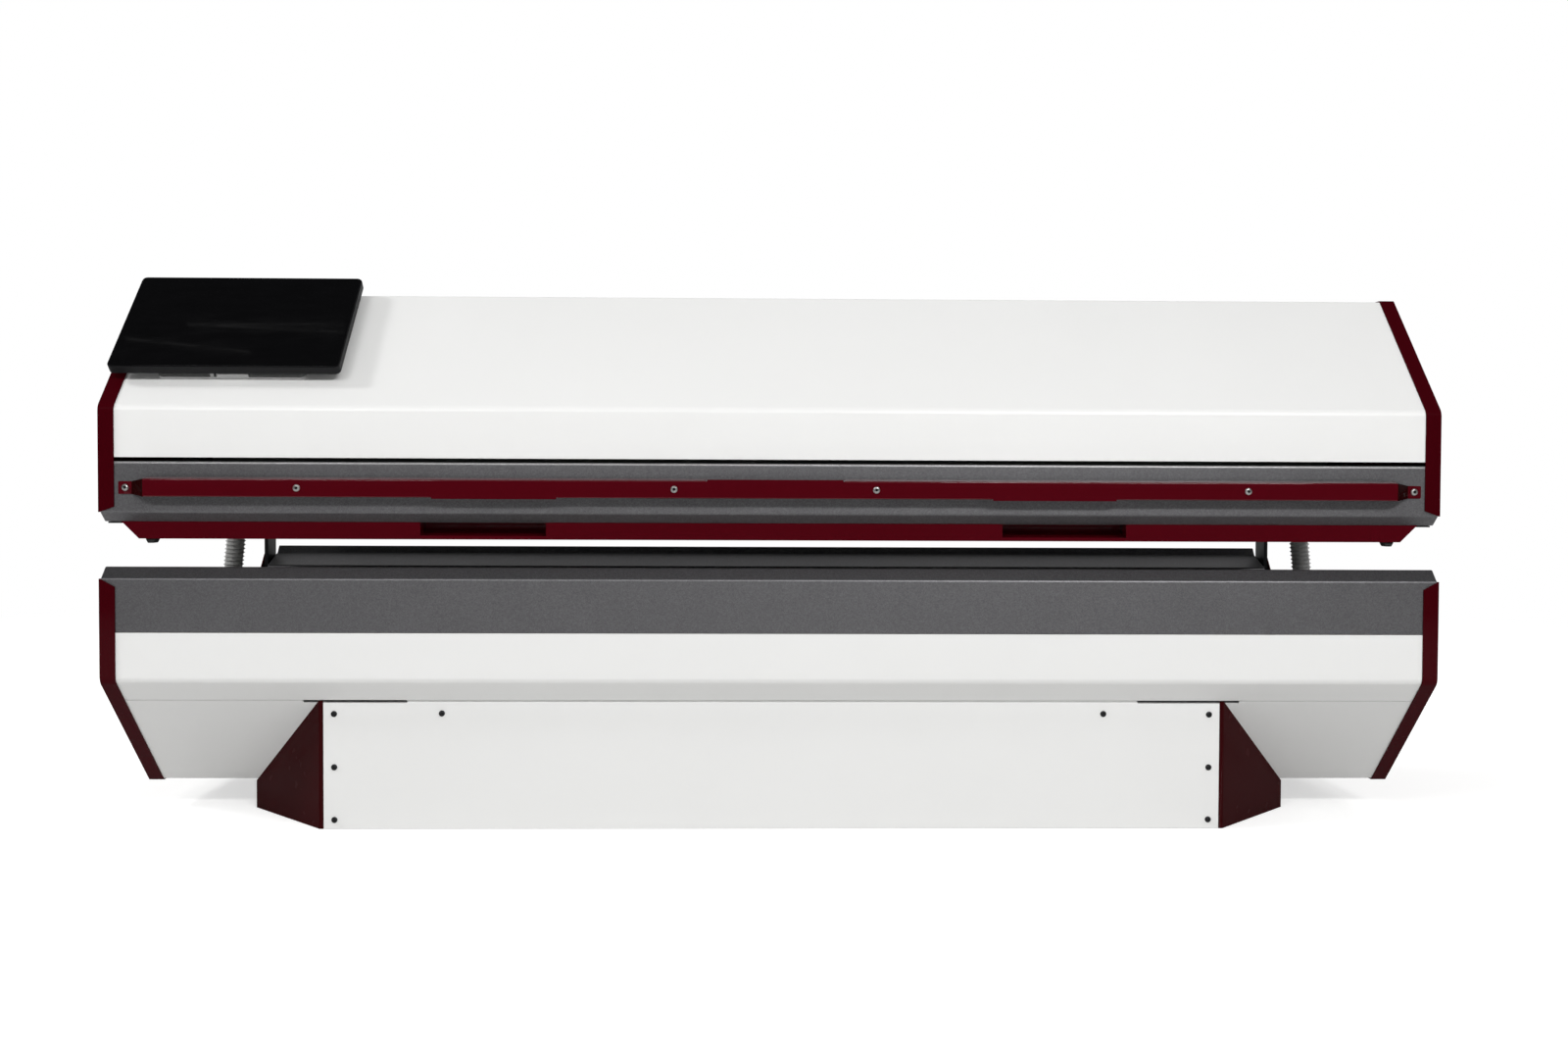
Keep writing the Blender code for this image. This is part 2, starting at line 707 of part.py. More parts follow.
def canopy_inside():
    ends = [-TRAY_END, TRAY_END]
    seat = MIRROR_SUM - TRAY_SEAT
    wall = seat + CANOPY_TRAY_WALL
    side_y, side_z = TRAY_Y - CANOPY_TRAY_SIDE_RUN, wall + CANOPY_TRAY_SIDE_RISE
    arch = [
        (side_y - CANOPY_TRAY_TOP_RUN, side_z + CANOPY_TRAY_TOP_RISE), (side_y, side_z), (TRAY_Y, wall),
        (TRAY_Y, seat)]
    tray = both_sides(arch + [(TRAY_Y + TRAY_FLANGE, seat)])
    made = [finish(sheet("canopy_led_tray", tray, SHEET, ends), "zinc")]
    made += boards("canopy_led_", tray, ((2, "front"), (4, "centre"), (6, "rear")), -1)

    edge = seat - GAP - COVER_THICKNESS
    inner = offset(both_sides(arch), -COVER_CLEARANCE)[len(arch):]
    cover = inner[:-1] + [(inner[-1][0], edge), (LIP_Y - CLEAR_EDGE, edge)]
    made.append(finish(sheet("canopy_cover", both_sides(cover), COVER_THICKNESS, ends), "clear"))
    return made


# Pedestal

def pedestal():
    back = PEDESTAL_FACE - SHEET
    top = underside(back) - GAP
    slot = PANEL_HALF - SLOT_INSET
    half = [(PANEL_HALF, 0.0), (PANEL_HALF, top - SLOT_NOTCH), (slot, top - SLOT_NOTCH), (slot, top)]
    outline = half + [(-x, z) for x, z in reversed(half)]
    finish(prism("pedestal_front_panel", outline, -PEDESTAL_FACE, -back, ALONG_Y), "white")
    finish(box("pedestal_rear_panel", (-PANEL_HALF, PANEL_HALF), (back, PEDESTAL_FACE), (0.0, top)), "white")

    corner = PANEL_HALF + CORNER_STRIP
    reach = corner + FLARE_RUN
    turn = BASE_SKIN[1][0] - FLARE_DIP
    half = [(reach, turn), (corner, PEDESTAL_FACE), (PANEL_HALF + GAP, PEDESTAL_FACE)]
    plan = [(x, -y) for x, y in reversed(half)] + half
    for word, side in (("left", -1), ("right", 1)):
        item = sheet(
            "pedestal_side_" + word, plan, SHEET, [0.0, 1.0],
            Matrix.Diagonal((side, 1, 1, 1)))
        for vert in item.data.vertices:
            vert.co.z *= underside(vert.co.y) - GAP
        trim_top(item)
        finish(item, "red")

    tube = FRAME_TUBE / 2
    long = reach - SHEET - GAP
    deep = back - GAP
    top = BASE_SKIN[1][1] - GAP
    frame = box("pedestal_frame", (-tube, tube), (-deep, deep), (0.0, top))
    for x in (-FRAME_CROSS_X, FRAME_CROSS_X):
        combine(frame, box("cross", (x - tube, x + tube), (-deep, deep), (0.0, top)), "UNION")
    rail = turn - FRAME_CLEARANCE - tube
    for y in (-rail, rail):
        combine(frame, box("rail", (-long, long), (y - tube, y + tube), (0.0, top)), "UNION")
    finish(frame, "black")


def trim_top(item):
    """Sets the inner top edge of a pedestal side under the base as its outer edge is."""
    graph = bpy.context.evaluated_depsgraph_get()
    mesh = bpy.data.meshes.new_from_object(item.evaluated_get(graph))
    item.modifiers.clear()
    item.data = mesh
    for vert in mesh.vertices:
        if vert.co.z > FOOT_CLEARANCE / 2:
            vert.co.z = underside(vert.co.y) - GAP


# Hinges and conduits

def hinges():
    pivot = (PIVOT_Y, PIVOT_Z)
    back = FACE_Y - SHEET - GAP
    heel = PIVOT_Y - HINGE_FRONT
    front = heel - STOP_DEPTH
    plate = [(heel, BASE_SPLIT - PLATE_FOOT), (back, BASE_SPLIT - PLATE_FOOT), (back, PIVOT_Z - KNUCKLE / 2)]
    plate += arc(pivot, KNUCKLE, 5, 150, 10)
    plate += [(heel, PIVOT_Z + STOP_RISE), (front, PIVOT_Z + STOP_RISE), (front, RIM_TOP - RIM_STEEP_DROP)]
    arm = arc(pivot, KNUCKLE, 150, 390, 14)
    arm += [
        (back, PIVOT_Z + KNUCKLE), (back, CANOPY_RIM_EDGE - ARM_TOP_DROP),
        (heel + GAP, CANOPY_RIM_EDGE - ARM_TOP_DROP), (heel + GAP, PIVOT_Z + STOP_RISE - STOP_HEIGHT)]
    canopy = []
    for word, side in (("left", -1), ("right", 1)):
        for name, outline, a, b in (
                ("hinge_plate_", plate, PLATE_INNER_X, PLATE_OUTER_X),
                ("hinge_arm_", arm, ARM_INNER_X, ARM_OUTER_X)):
            item = prism(name + word, outline, side * a, side * b)
            drill = rod("drill", PIN_RADIUS + GAP, a - SHEET, b + SHEET, pivot_frame(side))
            combine(item, drill, "DIFFERENCE")
            if name == "hinge_plate_":
                stop = box(
                    "stop", sorted((side * ARM_INNER_X, side * (PLATE_INNER_X + SHEET))), (front, heel),
                    (PIVOT_Z + STOP_RISE - STOP_HEIGHT, PIVOT_Z + STOP_RISE))
                combine(item, stop, "UNION")
            else:
                canopy.append(item)
            finish(item, "black")
        a, b = ARM_INNER_X - GAP, PLATE_OUTER_X + GAP
        profile = [
            (0.0, a - PIN_HEAD), (PIN_HEAD_RADIUS, a - PIN_HEAD), (PIN_HEAD_RADIUS, a), (PIN_RADIUS, a),
            (PIN_RADIUS, b), (PIN_HEAD_RADIUS, b), (PIN_HEAD_RADIUS, b + PIN_HEAD), (0.0, b + PIN_HEAD)]
        finish(lathe("hinge_pin_" + word, profile, pivot_frame(side)), "steel")
    return canopy


def pivot_frame(side):
    """A frame on the hinge axis whose height runs outwards along x."""
    return Matrix.Translation((0, PIVOT_Y, PIVOT_Z)) @ Matrix.Diagonal((side, 1, 1, 1)) @ ALONG_X


def tube(name, points, radii):
    """A round tube along points, with a radius for each."""
    curve = bpy.data.curves.new(name, "CURVE")
    curve.dimensions = "3D"
    curve.bevel_depth = 1.0
    curve.bevel_resolution = 2
    curve.use_fill_caps = True
    spline = curve.splines.new("POLY")
    spline.points.add(len(points) - 1)
    for knot, point, radius in zip(spline.points, points, radii):
        knot.co = (*point, 1.0)
        knot.radius = radius
    holder = bpy.data.objects.new(name + "_curve", curve)
    bpy.context.scene.collection.objects.link(holder)
    graph = bpy.context.evaluated_depsgraph_get()
    mesh = bpy.data.meshes.new_from_object(holder.evaluated_get(graph))
    bpy.data.objects.remove(holder)
    item = bpy.data.objects.new(name, mesh)
    bpy.context.scene.collection.objects.link(item)
    return item


def conduits():
    """Ribbed tubes that stand straight in a gland on each deck and bow a little between them."""
    low = DECK_TOP + GAP
    high = MIRROR_SUM - low
    straight = 2 * CONDUIT_RADIUS / (high - low)
    count = 2 * CONDUIT_RIBS + 1
    canopy = []
    for word, side in (("left", -1), ("right", 1)):
        points = []
        for i in range(count):
            t = i / (count - 1)
            inner = min(max((t - straight) / (1 - 2 * straight), 0.0), 1.0)
            bow = CONDUIT_BOW * math.sin(math.pi * inner) ** 2
            points.append((side * (CONDUIT_X + bow), CONDUIT_Y, low + (high - low) * t))
        radii = [CONDUIT_RADIUS if i % 2 else CONDUIT_ROOT for i in range(count)]
        item = tube("conduit_" + word, points, radii)
        past = points[::4]
        past[0] = (past[0][0], past[0][1], low - SHEET)
        past[-1] = (past[-1][0], past[-1][1], high + SHEET)
        combine(item, tube("bore", past, [CONDUIT_BORE] * len(past)), "DIFFERENCE")
        finish(item, "conduit")

        place = Matrix.Translation((side * CONDUIT_X, CONDUIT_Y, 0))
        for name, a, b in (
                ("base_gland_", low, low + GLAND_HEIGHT), ("canopy_gland_", high - GLAND_HEIGHT, high)):
            gland = rod(name + word, GLAND_RADIUS, a, b, place)
            bore = rod("bore", CONDUIT_RADIUS + GAP, a - SHEET, b + SHEET, place)
            combine(gland, bore, "DIFFERENCE")
            finish(gland, "black")
            if a > low:
                canopy.append(gland)
    return canopy


# Rails on the canopy

def grab_strip():
    """A flanged strip that stands off the canopy rim on posts, with a ramp and a tab at each end."""
    seat = -FACE_Y - GAP
    proud = seat - STRIP_PROUD
    tab = HALF_LENGTH - STRIP_INSET + STRIP_RAMP
    low = (STRIP_LOW_X - STRIP_LOW_GAP / 2, STRIP_LOW_X + STRIP_LOW_GAP / 2)
    half = [
        (STRIP_TOP_GAP / 2, proud), (low[0], proud), (low[1], proud), (HALF_LENGTH - STRIP_INSET, proud),
        (tab, seat), (tab + TAB_LENGTH, seat)]
    back = both_sides(half)
    front = offset(back, -SHEET)
    strip_z = (CANOPY_RIM_EDGE - STRIP_DROP - STRIP_HEIGHT, CANOPY_RIM_EDGE - STRIP_DROP)
    middle = sum(strip_z) / 2
    tab_z = (middle - TAB_HEIGHT / 2, middle + TAB_HEIGHT / 2)
    last = len(back) - 1
    work = bmesh.new()
    grid = {}
    for i in range(len(back)):
        ends = i < 2 or i > last - 2
        z0, z1 = tab_z if ends else strip_z
        for k, line in enumerate((front, back)):
            fold = 0.0 if ends else SHEET * k
            x, y = line[i]
            rows = [(back[i][0], proud + STRIP_FLANGE, z0 + fold), (x, y, z0 + fold), (x, y, z1 - fold)]
            rows.append((back[i][0], proud + STRIP_FLANGE, z1 - fold + STRIP_SLANT))
            for j, point in enumerate(rows):
                grid[i, j, k] = point

    def there(i, j):
        if j == 1:
            return 0 <= i < last
        if j not in (0, 2) or i < 2 or i > last - 3:
            return False
        reach = abs(back[i][0] + back[i + 1][0]) / 2
        return reach > 0 if j == 2 else not low[0] < reach < low[1]

    verts = {}

    def corner(i, j, k):
        if (i, j, k) not in verts:
            verts[i, j, k] = work.verts.new(grid[i, j, k])
        return verts[i, j, k]

    for i in range(last):
        for j in range(3):
            if not there(i, j):
                continue
            ring = [(i, j), (i + 1, j), (i + 1, j + 1), (i, j + 1)]
            for k in (0, 1):
                work.faces.new([corner(*place, k) for place in ring])
            for n, cell in enumerate(((i, j - 1), (i + 1, j), (i, j + 1), (i - 1, j))):
                if not there(*cell):
                    a, b = ring[n], ring[(n + 1) % 4]
                    work.faces.new((corner(*b, 0), corner(*a, 0), corner(*a, 1), corner(*b, 1)))
    item = from_bmesh("grab_strip", work)
    face = (proud - SHEET, proud)
    wide = STRIP_TOP_GAP / 2 - STRIP_RELIEF
    combine(item, box("lip", (-wide, wide), face, (middle, strip_z[1] + STRIP_LIP)), "UNION")
    wide = STRIP_LOW_GAP / 2 - STRIP_RELIEF
    for x in (-STRIP_LOW_X, STRIP_LOW_X):
        combine(item, box("lip", (x - wide, x + wide), face, (strip_z[0] - STRIP_LIP, middle)), "UNION")
    for x in POSTS_X:
        frame = Matrix.Translation((x, 0, middle)) @ ALONG_Y
        combine(item, rod("post", POST_RADIUS, proud - SHEET / 2, seat, frame, 16), "UNION")
    return [finish(item, "red")]


def handle_rail():
    """A moulded rail under the canopy rim with two hand pockets, and a bumper near each end."""
    back = RAIL_FRONT + RAIL_DEPTH
    rim = [(-y, z) for y, z in mirrored(rim_path(BASE_SPLIT, CREST_SETBACK))]
    seat = offset(rim, -GAP)
    top = [point for point in seat if RAIL_FRONT < point[0] < back]
    k = seat.index(top[0])
    first = at_depth(seat[k - 1], seat[k], RAIL_FRONT)
    k = seat.index(top[-1])
    final = at_depth(seat[k], seat[k + 1], back)
    outline = [(RAIL_FRONT, RAIL_BOTTOM), first] + top + [final, (back, RAIL_BOTTOM)]
    half = HALF_LENGTH - RAIL_END_INSET
    item = prism("handle_rail", outline, -half, half)
    for vert in item.data.vertices:
        drop = min(1.0, max(0.0, (RAIL_TOP - vert.co.z) / (RAIL_TOP - RAIL_BOTTOM)))
        vert.co.x -= math.copysign(RAIL_BEVEL * drop, vert.co.x)
    low = RAIL_BOTTOM + POCKET_LIP
    for side in (-1, 1):
        x = (side * POCKET_X - POCKET_LENGTH / 2, side * POCKET_X + POCKET_LENGTH / 2)
        pocket = box("pocket", x, (RAIL_FRONT - SHEET, RAIL_FRONT + POCKET_DEPTH), (low, low + POCKET_HEIGHT))
        combine(item, pocket, "DIFFERENCE")
    made = [finish(item, "red")]
    for word, side in (("left", -1), ("right", 1)):
        x = side * (HALF_LENGTH - BUMPER_INSET)
        top = RAIL_BOTTOM - GAP
        outline = [
            (x - BUMPER_TOP / 2, top), (x + BUMPER_TOP / 2, top),
            (x + BUMPER_LOW / 2, top - BUMPER_HEIGHT), (x - BUMPER_LOW / 2, top - BUMPER_HEIGHT)]
        start = RAIL_FRONT + BUMPER_LOW / 2
        bumper = prism("bumper_" + word, outline, start, start + BUMPER_DEPTH, ALONG_Y)
        made.append(finish(bumper, "rubber"))
    return made


# Fans

def fans():
    top = CANOPY_TOP - SKIN - SHEET - GAP
    low = top - FAN_DEPTH
    half = FAN_SIZE / 2
    made = []
    for word, x in (("left", -FAN_X), ("right", FAN_X)):
        place = Matrix.Translation((x, FAN_Y, 0))
        frame = box("fan_frame_" + word, (x - half, x + half), (FAN_Y - half, FAN_Y + half), (low, top))
        bore = rod("bore", FAN_BORE, low - SHEET, top + SHEET, place, 40)
        combine(frame, bore, "DIFFERENCE")
        seat = rod("seat", FAN_SEAT, low, low + FAN_SEAT_HEIGHT, place)
        for turn in (45, 135):
            arm = box(
                "arm", (-half, half), (-FAN_ARM / 2, FAN_ARM / 2), (low + GAP, low + FAN_SEAT_HEIGHT - GAP))
            arm.data.transform(place @ Matrix.Rotation(math.radians(turn), 4, "Z"))
            combine(seat, arm, "UNION")
        combine(frame, seat, "UNION")
        made.append(finish(frame, "black"))

        base = low + FAN_SEAT_HEIGHT + GAP
        rotor = rod("fan_rotor_" + word, HUB_RADIUS, base, base + HUB_HEIGHT, place, 28)
        for k in range(BLADES):
            blade = fan_blade(base + HUB_HEIGHT / 2)
            blade.data.transform(place @ Matrix.Rotation(2 * math.pi * k / BLADES, 4, "Z"))
            combine(rotor, blade, "UNION")
        set_origin(rotor, (x, FAN_Y, base))
        made.append(finish(rotor, "black"))
    return made


def fan_blade(height):
    """One pitched fan blade that starts inside the hub."""
    tip = FAN_BORE - BLADE_TIP_GAP
    work = bmesh.new()
    rings = []
    root = HUB_RADIUS - BLADE_THICKNESS
    for i in range(BLADE_RINGS):
        t = i / (BLADE_RINGS - 1)
        radius = root + (tip - root) * t
        chord = BLADE_ROOT_CHORD + (BLADE_TIP_CHORD - BLADE_ROOT_CHORD) * t
        angle = BLADE_ROOT_PITCH + (BLADE_TIP_PITCH - BLADE_ROOT_PITCH) * t
        pitch = Matrix.Rotation(math.radians(angle), 3, "X")
        ring = []
        for a, b in ((-1, -1), (1, -1), (1, 1), (-1, 1)):
            turned = pitch @ Vector((0.0, a * chord / 2, b * BLADE_THICKNESS / 2))
            ring.append(work.verts.new((radius, turned.y, height + turned.z)))
        rings.append(ring)
    work.faces.new(rings[0])
    work.faces.new(rings[-1])
    for a, b in zip(rings, rings[1:]):
        for k in range(4):
            n = (k + 1) % 4
            work.faces.new((a[k], a[n], b[n], b[k]))
    return from_bmesh("blade", work)


# Tablet on its tilting mount

def facet_frame():
    """A frame on the canopy's front facet: u runs along x, v up the facet and w out from it."""
    up = Vector((0.0, CANOPY_FACET_RUN, CANOPY_FACET_RISE)).normalized()
    out = Vector((1.0, 0.0, 0.0)).cross(up)
    turn = Matrix((Vector((1.0, 0.0, 0.0)), up, out)).transposed().to_4x4()
    return Matrix.Translation((TABLET_INSET - HALF_LENGTH, -HALF_DEPTH, CANOPY_BEND)) @ turn


def tablet():
    frame = facet_frame()
    across = frame @ Matrix(((0, 0, 1, 0), (1, 0, 0, 0), (0, 1, 0, 0), (0, 0, 0, 1)))
    u = (-TABLET_WIDTH / 2, TABLET_WIDTH / 2)
    v = (TABLET_LOW, TABLET_LOW + TABLET_HEIGHT)
    back = TABLET_STANDOFF
    front = back + TABLET_DEPTH
    axle = (TABLET_LOW + TILT_UP, back - TILT_DEPTH)
    axle_frame = across @ Matrix.Translation((*axle, 0))
    body = prism("tablet_body", rounded(u, v, TABLET_CORNER), back, front, frame)
    lug = arc(axle, TILT_LUG, 180, 360, 12)
    lug += [(axle[0] + TILT_LUG, back + SHEET), (axle[0] - TILT_LUG, back + SHEET)]
    combine(body, prism("lug", lug, -LUG_WIDTH / 2, LUG_WIDTH / 2, across), "UNION")
    combine(body, rod("drill", TILT_PIN + GAP, -LUG_WIDTH, LUG_WIDTH, axle_frame), "DIFFERENCE")
    finish(body, "black")

    u = (u[0] + GLASS_INSET, u[1] - GLASS_INSET)
    v = (v[0] + GLASS_INSET, v[1] - GLASS_INSET)
    outline = rounded(u, v, TABLET_CORNER - GLASS_INSET)
    glass = finish(prism("tablet_glass", outline, front + GAP, front + GAP + GLASS, frame), "glass")

    skin = -SKIN + GAP
    u = (MOUNT_OFFSET - MOUNT_WIDTH / 2, MOUNT_OFFSET + MOUNT_WIDTH / 2)
    v = (TABLET_LOW + MOUNT_RISE, TABLET_LOW + MOUNT_RISE + MOUNT_HEIGHT)
    mount = prism("tablet_mount", rounded(u, v, MOUNT_CORNER), skin, skin + MOUNT_PLATE, frame)
    for side in (-1, 1):
        a = side * (LUG_WIDTH / 2 + GAP)
        ear = arc(axle, TILT_LUG, 0, 180, 12)
        ear += [(axle[0] - EAR_FOOT, skin + SHEET), (axle[0] + EAR_FOOT, skin + SHEET)]
        combine(mount, prism("ear", ear, a, a + side * EAR_WIDTH, across), "UNION")
    reach = LUG_WIDTH / 2 + EAR_WIDTH / 2
    combine(mount, rod("pin", TILT_PIN, -reach, reach, axle_frame), "UNION")
    finish(mount, "light_grey")

    pivot = carry("tablet_tilt", axle_frame.to_translation(), [body, glass])
    return [mount, pivot]


# Mains inlet

def mains_inlet():
    """A mains inlet with a rocker switch beside its socket, set in the rear panel."""
    x = (INLET_X - INLET_WIDTH / 2, INLET_X + INLET_WIDTH / 2)
    z = (BASE_BEND + INLET_RISE, BASE_BEND + INLET_RISE + INLET_HEIGHT)
    outer = FACE_Y + GAP
    inlet = box(
        "power_inlet", (x[0] - INLET_RIM, x[1] + INLET_RIM), (outer, outer + INLET_RIM_DEPTH),
        (z[0] - INLET_RIM, z[1] + INLET_RIM))
    body = box(
        "body", (x[0] + GAP, x[1] - GAP), (outer - INLET_DEPTH, outer + INLET_RIM_DEPTH / 2),
        (z[0] + GAP, z[1] - GAP))
    combine(inlet, body, "UNION")
    far = outer + 2 * INLET_RIM_DEPTH
    start = x[0] + INLET_WALL
    socket = box(
        "socket", (start, start + SOCKET_WIDTH), (outer - SOCKET_DEPTH, far), (z[0] + INLET_WALL, z[1] - INLET_WALL))
    combine(inlet, socket, "DIFFERENCE")
    middle = (z[0] + z[1]) / 2
    rocker_x = (x[1] - INLET_WALL - ROCKER_WIDTH, x[1] - INLET_WALL)
    tall = ROCKER_HEIGHT / 2 + ROCKER_CLEARANCE
    well = box(
        "well", (rocker_x[0] - GAP, rocker_x[1] + GAP), (outer - WELL_DEPTH, far), (middle - tall, middle + tall))
    combine(inlet, well, "DIFFERENCE")
    finish(inlet, "black")

    axis = outer - WELL_DEPTH / 2
    root = axis - WELL_DEPTH / 2 + ROCKER_CLEARANCE
    crown = outer + ROCKER_CLEARANCE
    outline = [
        (root, middle - ROCKER_ROOT / 2), (root, middle + ROCKER_ROOT / 2), (crown, middle + ROCKER_HEIGHT / 2),
        (crown - ROCKER_CLEARANCE, middle), (crown, middle - ROCKER_HEIGHT / 2)]
    rocker = prism("rocker_switch", outline, rocker_x[0], rocker_x[1])
    set_origin(rocker, (sum(rocker_x) / 2, axis, middle))
    finish(rocker, "black")


def main():
    clear_scene()
    base_panels()
    bed_inside()
    pedestal()
    mains_inlet()
    canopy = end_caps() + rims() + canopy_shell() + decks() + canopy_inside() + hinges() + conduits()
    canopy += grab_strip() + handle_rail() + fans() + tablet()
    carry("canopy_hinge", (0.0, PIVOT_Y, PIVOT_Z), canopy)


main()
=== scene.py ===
"""Light therapy bed: rolled sheet panels, rails, hoses, emitters, fasteners, finishes and a studio.

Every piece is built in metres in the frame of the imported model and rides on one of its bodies.
"""
import json
import math

import bmesh
import bpy
from bpy.props import FloatProperty, FloatVectorProperty, IntProperty, PointerProperty
from mathutils import Matrix, Vector

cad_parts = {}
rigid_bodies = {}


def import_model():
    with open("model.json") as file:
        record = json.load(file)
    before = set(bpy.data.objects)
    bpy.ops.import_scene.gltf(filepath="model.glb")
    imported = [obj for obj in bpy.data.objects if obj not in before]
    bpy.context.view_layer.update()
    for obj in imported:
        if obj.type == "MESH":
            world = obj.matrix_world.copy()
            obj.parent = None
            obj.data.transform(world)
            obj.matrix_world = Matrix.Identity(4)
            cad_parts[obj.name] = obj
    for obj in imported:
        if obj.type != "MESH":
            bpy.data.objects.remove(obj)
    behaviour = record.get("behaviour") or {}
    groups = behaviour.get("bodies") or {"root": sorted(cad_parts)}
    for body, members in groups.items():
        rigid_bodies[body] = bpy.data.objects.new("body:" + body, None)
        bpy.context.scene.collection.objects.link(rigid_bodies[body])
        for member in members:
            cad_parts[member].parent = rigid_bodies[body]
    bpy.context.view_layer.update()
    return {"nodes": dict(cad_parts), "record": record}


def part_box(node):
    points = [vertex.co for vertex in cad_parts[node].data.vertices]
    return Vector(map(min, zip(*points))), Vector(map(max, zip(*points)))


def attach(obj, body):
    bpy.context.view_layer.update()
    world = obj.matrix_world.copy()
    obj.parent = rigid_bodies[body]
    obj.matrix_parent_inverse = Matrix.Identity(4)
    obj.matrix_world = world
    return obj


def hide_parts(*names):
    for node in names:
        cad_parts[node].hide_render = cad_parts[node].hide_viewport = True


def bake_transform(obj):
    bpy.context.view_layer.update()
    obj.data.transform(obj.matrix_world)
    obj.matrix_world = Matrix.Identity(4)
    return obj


bl_info = {
    "name": "Light therapy bed",
    "version": (1, 0, 0),
    "blender": (4, 5, 0),
    "location": "View3D > Sidebar > Light Bed",
    "description": "Dresses a clamshell light therapy bed with panels, finishes, fasteners and a studio",
    "category": "Object",
}

for leftover in list(bpy.data.objects):
    bpy.data.objects.remove(leftover)
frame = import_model()
RECORD = frame["record"]

# Which body carries each node, and which finish each node has in the record
BODY_OF = {node: body for body, nodes in RECORD["behaviour"]["bodies"].items() for node in nodes}
SLOT_OF = {entry["node"]: entry["material_slot"] for entry in RECORD["subparts"]}
SIDES = (("left", -1), ("right", 1))

# Along the length of the bed
ALONG = Vector((1.0, 0.0, 0.0))

# Angles that tell a fold from a cut edge and a smooth face from a sharp one
FOLD_ANGLE = math.radians(25)
CUT_ANGLE = math.radians(50)
SHARP_ANGLE = math.radians(36)
FLAT_ANGLE = math.radians(0.4)
# A smaller angle for edges that are blunt to begin with
BLUNT_ANGLE = math.radians(30)
# Points nearer than this are one point
WELD = 1e-5
# A fold this far from the middle of the depth is one of the long outer ones
CREASE_REACH = 0.35
# Both faces of a fold are broader than this many sheets
BROAD = 1.6
# How much the broad faces of a piece steer its shading
FLAT_WEIGHT = 80


def colour(name, description, default):
    """A colour that a user may change."""
    return FloatVectorProperty(
        name=name, description=description, default=default, subtype="COLOR", size=3, min=0.0, max=1.0)


def length(name, description, default):
    """A length that a user may change."""
    return FloatProperty(
        name=name, description=description, default=default, unit="LENGTH", min=0.0, precision=4)


class BedColours(bpy.types.PropertyGroup):
    """Colours of the bed's finishes"""

    white: colour("Panel white", "Powder coat on the shell and the panels", (0.83, 0.83, 0.82))
    red: colour("Deep red", "Gloss coat on the ends", (0.043, 0.0005, 0.0027))
    rail: colour("Rail red", "Gloss coat on the grab strip and the handle rail", (0.070, 0.0004, 0.0040))
    ramp: colour("Ramp red", "Darker red on the end ramps of the grab strip", (0.014, 0.0016, 0.0016))
    # Darker and browner than the ends' red: painted shade under the base and a painted reflection of the
    # floor
    flare: colour("Pedestal red", "Gloss coat on the pedestal sides", (0.032, 0.0022, 0.0030))
    grey: colour("Rim grey", "Metallic paint on the rims", (0.168, 0.166, 0.173))
    # Painted highlight: a lighter grey on the upward faces of the canopy rims' upper roll
    bright: colour("Bright edge", "Painted highlight along the upper roll of the canopy rims", (0.62, 0.62, 0.62))
    black: colour("Satin black", "Paint on the hinges and the decks", (0.012, 0.012, 0.013))
    plastic: colour("Moulded black", "Plastic of the tablet, the fans and the inlet", (0.009, 0.009, 0.010))
    hose: colour("Hose grey", "Ribbed hoses between base and canopy", (0.46, 0.46, 0.45))
    board: colour("Board white", "Solder mask of the light boards", (0.78, 0.77, 0.74))
    lens: colour("Lens amber", "Lenses of the light emitters", (0.62, 0.44, 0.20))
    acrylic: colour("Clear sheet", "Lying surface and canopy cover", (0.90, 0.93, 0.92))
    bracket: colour("Bracket grey", "Tilting bracket of the tablet", (0.46, 0.46, 0.46))


class BedSizes(bpy.types.PropertyGroup):
    """Sizes of the bed's rolled folds, eased edges, ribs, emitters and screws"""

    panel_fold: length("Panel fold", "Outer radius of the front and rear folds in the white panels", 0.0157)
    cap_fold: length("End fold", "Outer radius of the front and rear folds in the end flanges", 0.018)
    tight_fold: length("Tight fold", "Outer radius of the folds along the top and the underside", 0.005)
    cap_edge: length("End edge", "Rolled edge between an end plate and its flange", 0.0018)
    side_fold: length("Pedestal fold", "Outer radius of the folds in the pedestal sides", 0.004)
    strip_fold: length("Strip fold", "Outer radius of the folds in the grab strip", 0.0042)
    rail_edge: length("Rail edge", "Eased edge of the moulded handle rail", 0.0022)
    pocket_cove: length("Pocket cove", "Radius of the cove at the back of each hand pocket", 0.020)
    rim_fold: length("Rim fold", "Outer radius of the folds in the grey rims", 0.0032)
    rim_edge: length("Rim edge", "Eased cut edge of the grey rims", 0.0006)
    sheet_edge: length("Sheet edge", "Eased cut edge of the sheet panels", 0.0004)
    sheet: length("Sheet", "Thickness of the folded sheet", 0.002)
    ribs: IntProperty(name="Hose ribs", description="Ribs of each hose", default=24, min=4, max=80)
    emitter_pitch: length("Emitter pitch", "Distance between light emitters", 0.036)
    emitter_width: length("Emitter width", "Width of one emitter's package", 0.0064)
    panel_screw: length("Panel screw", "Head radius of the black panel screws", 0.0052)
    strip_screw: length("Strip screw", "Head radius of the bright strip screws", 0.0060)
    fan_screw: length("Fan screw", "Head radius of the fan screws", 0.0034)


# Finishes

def maths(operation, reflected=False):
    """A method that joins a channel and another value by a Math node."""
    def method(self, other):
        first, second = (other, self) if reflected else (self, other)
        return self.finish.node("ShaderNodeMath", {"operation": operation}, {0: first, 1: second})
    return method


